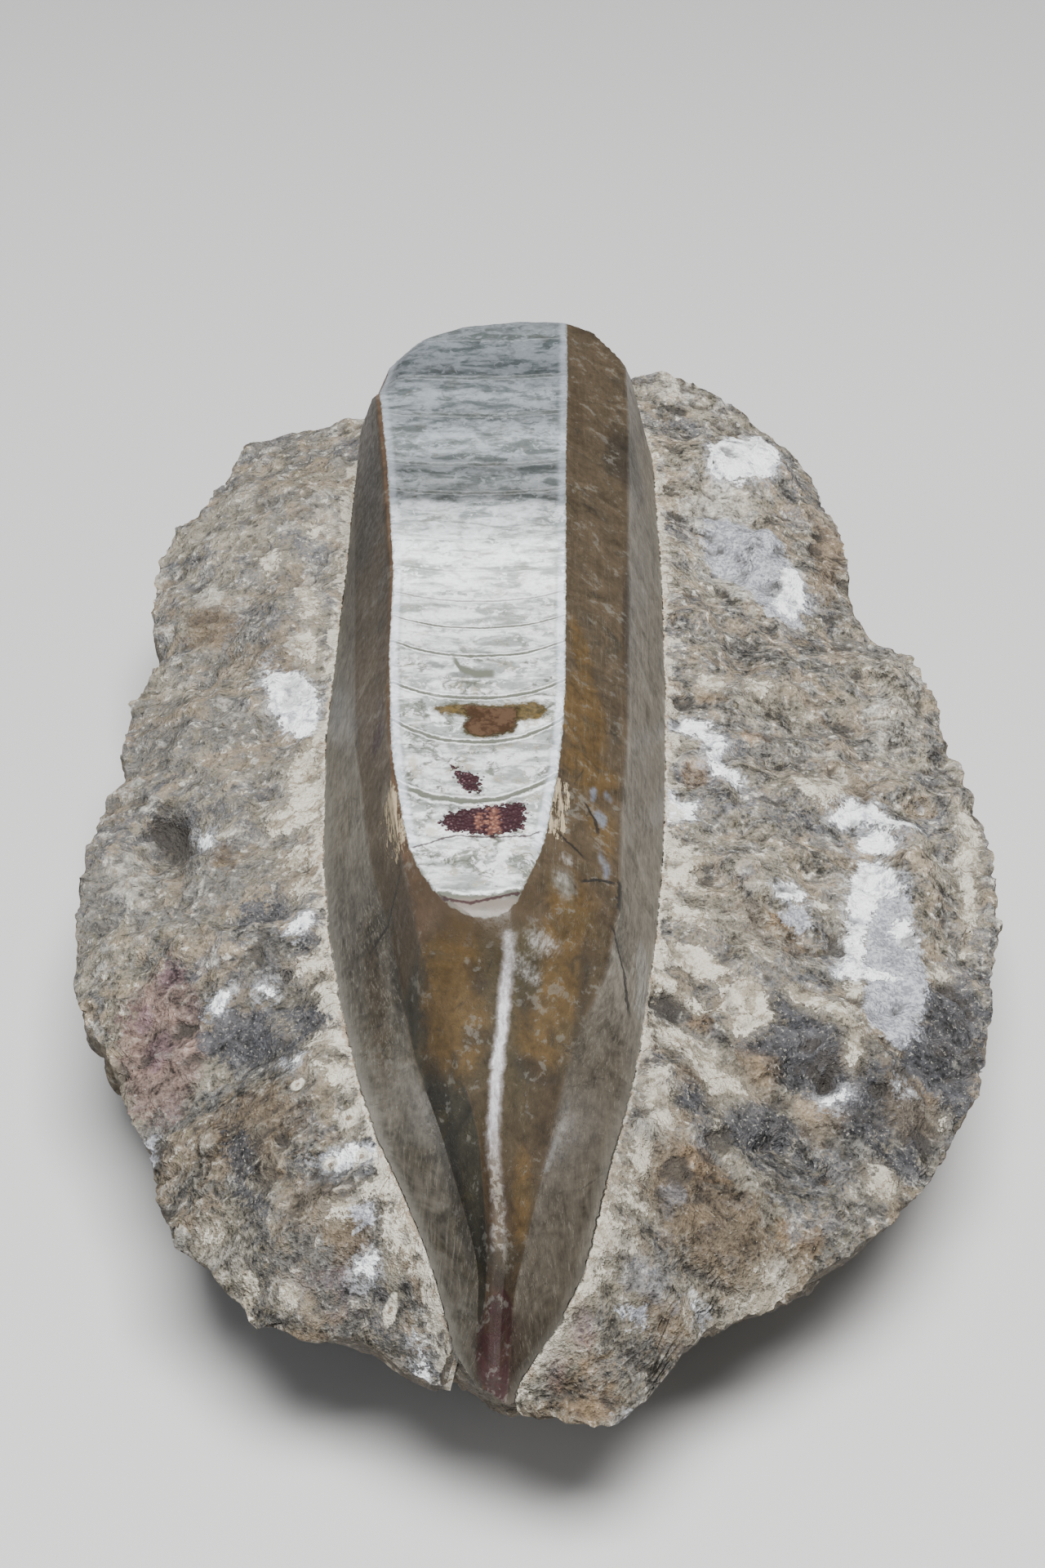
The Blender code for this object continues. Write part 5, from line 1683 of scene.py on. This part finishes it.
@dataclass(frozen=True)
class ShellBand:
    """The white shell that the grinding has cut open: its wall, its septa and its spar."""

    white: Colour = (0.86, 0.88, 0.88)
    mist: Colour = (0.31, 0.335, 0.32)
    sage: Colour = (0.175, 0.185, 0.155)
    straw: Colour = (0.36, 0.31, 0.22)
    grey: Colour = (0.105, 0.112, 0.108)
    wall: Colour = (0.60, 0.65, 0.74)
    seam: Colour = (0.095, 0.10, 0.08)
    crystal: Colour = (0.026, 0.010, 0.013)
    glint: Colour = (0.125, 0.068, 0.075)
    clay: Colour = (0.034, 0.019, 0.011)
    dusty: Colour = (0.064, 0.038, 0.023)
    honey: Colour = (0.038, 0.029, 0.012)
    resin: Colour = (0.088, 0.060, 0.022)
    salmon: Colour = (0.22, 0.098, 0.066)
    tip: Colour = (0.145, 0.122, 0.104)
    tones: tuple[tuple[float, float], ...] = (  # place along the band and brightness there
        (-56.0, 0.78), (-16.0, 0.76), (-10.0, 0.68), (-6.0, 0.72), (-2.0, 0.88), (2.5, 0.76),
        (7.0, 0.84), (12.0, 1.0), (17.0, 1.0), (19.5, 0.84), (21.2, 0.62), (24.5, 0.60),
        (27.0, 0.52), (28.4, 0.40), (29.4, 0.20), (30.4, 0.12), (31.8, 0.17), (33.6, 0.22),
        (34.8, 0.27), (36.0, 0.19), (37.6, 0.14), (39.6, 0.19), (41.2, 0.30), (45.0, 0.40),
        (49.0, 0.28), (52.0, 0.20), (58.0, 0.32), (61.5, 0.22), (65.0, 0.15), (75.0, 0.23),
        (84.0, 0.20),
    )
    cracks: tuple[Crack, ...] = (
        Crack(((-14.5, -44.8), (-12.8, -44.2), (-10.5, -43.0), (-9.2, -42.6), (-5.6, -42.9),
               (-2.0, -42.7), (-1.1, -42.6), (0.3, -41.4)), 0.22),
        Crack(((-12.0, -52.2), (-10.7, -53.2), (-9.3, -53.9), (-7.5, -54.2), (-5.4, -53.5),
               (-4.0, -53.0), (-2.6, -52.6), (-1.9, -51.6)), 0.34),
        Crack(((-11.0, -38.4), (-10.2, -40.2), (-9.4, -41.9)), 0.16, False),
    )
    dash: Crack = Crack(((-10.6, -7.4), (-9.5, -10.0), (-7.6, -11.2), (-5.2, -11.2)), 1.15)

    def ground(self, tree: ShaderTree, cloud: Clouds, fine: Clouds) -> Wire:
        """The cloudy spar that fills the chambers.

        Args:
            tree: The material's tree.
            cloud: Clouds of a few millimetres.
            fine: Clouds of about half a millimetre.

        Returns:
            The colour.
        """
        veil = tree.clouds(1.2, 4.0, 0.64, 0.8)
        streak = tree.noise(2.6, 4.0, 0.6, 0.5, tree.place * (0.42, 1.15, 1.0))
        near = tree.y.fall(-14.0, 2.0)
        wisp = tree.cells(3.4, "DISTANCE_TO_EDGE", place=tree.place + veil.c.sway(5.0))
        colour = tree.layers(
            tree.mix(streak.rise(0.38, 0.58), self.mist, self.white),
            ((cloud.b + veil.c.sway(0.6)).rise(0.50, 0.66) * (0.45 + near * 0.50), self.sage),
            ((cloud.c + (veil.b - 0.5)).rise(0.54, 0.68) * (0.25 + near * 0.45), self.straw),
            (veil.a.rise(0.54, 0.66) * 0.5, self.mist),
            ((veil.b + (cloud.a - 0.5)).rise(0.54, 0.66) * 0.8, self.white),
            (wisp.fall(0.01, 0.08) * cloud.b.rise(0.44, 0.56) * near * 0.80, self.seam),
        )
        waved = tree.y + cloud.b.sway(2.6) + fine.b.sway(0.8)
        tones = [(a, tuple(tone * part for part in self.tint(a))) for a, tone in self.tones]
        return colour * tree.along(waved, tones) * (0.94 + fine.a.sway(0.6))

    @staticmethod
    def tint(along: float) -> Colour:
        """The shell turns from neutral to bluish towards its wide end."""
        share = min(max((along - 10) / 60, 0), 1)
        return (1 - 0.08 * share, 1.0, 1 + 0.10 * share)

    def look(self, tree: ShaderTree) -> Look:
        """The shell's look in a material's tree.

        Args:
            tree: The material's tree.

        Returns:
            The look.
        """
        y, band = tree.y, tree.field("band")
        cloud = tree.clouds(3.4, 5.0, 0.60, 0.7)
        fine = tree.clouds(0.55, 3.0, 0.62)

        # The chambers, each of its own tone, with their septa, and the wall of the shell.
        chamber = tree.field("chamber") + cloud.a.sway(0.10) + fine.a.sway(0.05)
        room = tree.calculate("FLOOR", chamber)
        tone = tree.node("ShaderNodeTexWhiteNoise", {"noise_dimensions": "1D"}, {"W": room})
        line = abs(chamber - room - 0.5)
        crisp = 0.18 + y.fall(-6.0, 16.0) * 0.82
        dim = (tree.field("dark") + cloud.a.sway(0.8) + fine.a.sway(0.5)).rise(0.15, 0.6)
        rim = band + cloud.b.sway(0.7) + fine.a.sway(0.4)
        strip = y.rise(-47.0, -43.0) * y.fall(4.0, 20.0)
        wall = rim.fall(0.6, 1.4) * (strip * 0.42 + y.rise(8.0, 20.0) * 0.16)
        tip = (y + cloud.a.sway(2.0)).fall(-53.9, -52.8)
        waver = fine.b.sway(0.7)
        colour = tree.layers(
            self.ground(tree, cloud, fine) * (0.86 + tone * 0.18),
            (line.rise(0.36, 0.42) * line.fall(0.425, 0.45) * crisp * 0.40, self.grey),
            (line.rise(0.43, 0.45) * line.fall(0.458, 0.474) * crisp * 0.42, self.white),
            (line.rise(0.452, 0.482) * crisp * (0.45 + cloud.c * 1.2), self.seam),
            (dim * 0.82, self.grey),
            (tree.patch("cream", cloud.a.sway(0.8), 0.35, 0.75) * 0.6, self.straw),
            (wall, self.wall),
            (rim.rise(0.85, 1.15) * rim.fall(1.15, 1.6) * strip * 0.30, self.grey),
            (tip * (0.95 - cloud.c.rise(0.50, 0.62) * 0.45), self.tip),
            (self.dash.mask(tree, waver + (cloud.b - 0.5)), self.seam),
            *((crack.mask(tree, waver) * 0.85, self.crystal) for crack in self.cracks),
        )

        # The clay pocket with its honey rim, and the druse.
        brink = tree.field("geode_rim") + cloud.a.sway(2.2) + fine.a.sway(1.6)
        clay = tree.field("geode") + cloud.b.sway(2.0) + fine.b.sway(1.8)
        honey = tree.mix((fine.c + (cloud.c - 0.5)).rise(0.36, 0.62), self.honey, self.resin)
        earth = tree.mix((fine.a + cloud.a.sway(1.6)).rise(0.40, 0.68), self.clay, self.dusty)
        grains = tree.cells(0.5)
        druse = tree.field("druse") + fine.a.sway(2.0) + (0.35 - grains) * 1.2
        crystals = druse.rise(-0.1, 0.15)
        gems = tree.mix(grains.fall(0.12, 0.38) * (fine.c + (cloud.c - 0.5)).rise(0.42, 0.6),
                        self.crystal, self.glint)
        peach = tree.patch("salmon", fine.b.sway(2.6), -0.3, 0.3)
        brim = band + fine.a.sway(0.9) + cloud.b.sway(1.2)
        colour = tree.layers(
            colour,
            (brink.rise(-0.5, 0.1) * 0.55, self.honey),
            (brink.rise(0.0, 0.5) * 0.95, honey),
            (clay.rise(-0.5, 0.0) * 0.8, self.honey),
            (clay.rise(-0.1, 0.5), earth),
            (crystals, gems),
            (peach * (1.0 - grains.rise(0.25, 0.6) * 0.6), self.salmon),
            (brim.fall(0.0, 0.22) * 0.6, self.seam),
        )
        rough = 0.36 + cloud.a.sway(0.5) + crystals * 0.3
        septa = line.rise(0.470, 0.486)
        height = (0.06 * cloud.a + 0.05 * fine.a - septa * 0.05
                  - crystals * (0.10 + grains * 0.35) - clay.rise(-0.1, 0.3) * 0.12)
        return Look(colour, rough, height)


@dataclass(frozen=True)
class FossilFinish:
    """The one finish of the stone: rough where broken, polished where ground."""

    rough: RoughStone = RoughStone()
    polished: PolishedStone = PolishedStone()
    shell: ShellBand = ShellBand()
    coat: float = 0.05
    coat_roughness: float = 0.22
    specular: float = 0.17

    def dress(self, stone: bpy.types.Object) -> None:
        """Makes the material and puts it on the stone."""
        tree = ShaderTree("orthoceras_limestone")
        edge = tree.noise(0.8, 3.0)
        ridge = tree.field("ridge") + edge.sway(0.7)
        band = tree.field("band") + edge.sway(0.45)
        on_ridge, on_band = ridge.rise(-0.12, 0.12), band.rise(-0.07, 0.07)
        look = self.rough.look(tree).under(tree, on_ridge, self.polished.look(tree))
        look = look.under(tree, on_band, self.shell.look(tree))
        shader = tree.shader
        tree.feed(shader.inputs["Base Color"], look.colour)
        tree.feed(shader.inputs["Roughness"], look.roughness)
        tree.feed(shader.inputs["Coat Weight"], on_ridge * self.coat)
        shader.inputs["Coat Roughness"].default_value = self.coat_roughness
        shader.inputs["Specular IOR Level"].default_value = self.specular
        bump = tree.node("ShaderNodeBump", {}, {
            "Height": look.height, "Distance": MM, "Strength": 1.0})
        tree.feed(shader.inputs["Normal"], bump)
        stone.data.materials.append(tree.material)


# ------------------------------------------------------------------ studio

@dataclass(frozen=True)
class SoftBox:
    """A large soft lamp that faces the stone."""

    name: str
    place: tuple[float, float, float]
    size: tuple[float, float]
    power: float
    tint: Colour = (1.0, 1.0, 1.0)
    aim: tuple[float, float, float] = (0.0, 0.0, 0.02)

    def build(self) -> bpy.types.Object:
        """Hangs the lamp in the scene."""
        data = bpy.data.lights.new(self.name, "AREA")
        data.shape = "RECTANGLE"
        data.size, data.size_y = self.size
        data.energy = self.power
        data.color = self.tint
        lamp = put_in_scene(self.name, data)
        lamp.location = self.place
        toward = Vector(self.aim) - Vector(self.place)
        lamp.rotation_euler = toward.to_track_quat("-Z", "Y").to_euler()
        return lamp


@dataclass
class Studio:
    """A plain pale floor, soft lamps and the camera."""

    floor_size: float = 6.0
    floor_colour: Colour = (0.46, 0.455, 0.45)
    sky: Colour = (0.80, 0.83, 0.88)
    sky_strength: float = 0.16
    camera_place: tuple[float, float, float] = (-0.002, -0.2695, 0.2295)
    camera_tilt: float = 53.0
    lens: float = 60.0
    lamps: tuple[SoftBox, ...] = (
        SoftBox("overhead_softbox", (0.04, -0.24, 0.86), (0.50, 0.34), 24.0),
        SoftBox("left_softbox", (-0.95, -0.25, 0.50), (0.5, 0.5), 2.6, (0.92, 0.96, 1.0)),
        SoftBox("right_fill", (0.9, -0.35, 0.42), (0.6, 0.6), 2.0, (1.0, 0.97, 0.92)),
    )

    def build_floor(self) -> bpy.types.Object:
        """The floor, as a plain sheet under the stone."""
        half = self.floor_size / 2
        mesh = bpy.data.meshes.new("studio_floor")
        mesh.from_pydata(
            [(-half, -half, 0), (half, -half, 0), (half, half, 0), (-half, half, 0)],
            [], [(0, 1, 2, 3)])
        floor = put_in_scene("studio_floor", mesh)
        tree = ShaderTree("pale_paper")
        tree.feed(tree.shader.inputs["Base Color"], self.floor_colour)
        tree.shader.inputs["Roughness"].default_value = 0.9
        mesh.materials.append(tree.material)
        return floor

    def build_camera(self) -> bpy.types.Object:
        """The camera, above the front of the stone and looking along it."""
        data = bpy.data.cameras.new("camera")
        data.lens = self.lens
        data.sensor_width = 36.0
        data.clip_start = 0.01
        camera = put_in_scene("camera", data)
        camera.location = self.camera_place
        camera.rotation_euler = Euler((math.radians(self.camera_tilt), 0.0, 0.0))
        bpy.context.scene.camera = camera
        return camera

    def light(self) -> None:
        """The pale surround and the lamps."""
        world = bpy.data.worlds.new("studio")
        world.use_nodes = True
        background = world.node_tree.nodes["Background"]
        background.inputs["Color"].default_value = (*self.sky, 1.0)
        background.inputs["Strength"].default_value = self.sky_strength
        bpy.context.scene.world = world
        for lamp in self.lamps:
            lamp.build()


def clear_startup() -> None:
    """Removes the things that Blender starts with."""
    for name in ("Cube", "Light", "Camera"):
        thing = bpy.data.objects.get(name)
        if thing is not None:
            bpy.data.objects.remove(thing, do_unlink=True)


def main() -> None:
    """Builds the stone, its finish and the studio."""
    logging.basicConfig(level=logging.INFO, format="%(message)s")
    log = logging.getLogger("fossil")
    clear_startup()
    stone = FineStone().build()
    log.info("stone: %d faces", len(stone.data.polygons))
    FossilFinish().dress(stone)
    log.info("finish: %d nodes", len(stone.data.materials[0].node_tree.nodes))
    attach(stone, "root")
    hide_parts(NODE)
    studio = Studio()
    studio.build_floor()
    studio.light()
    studio.build_camera()
    log.info("studio: %d lamps", len(studio.lamps))


if __name__ == "__main__":
    main()
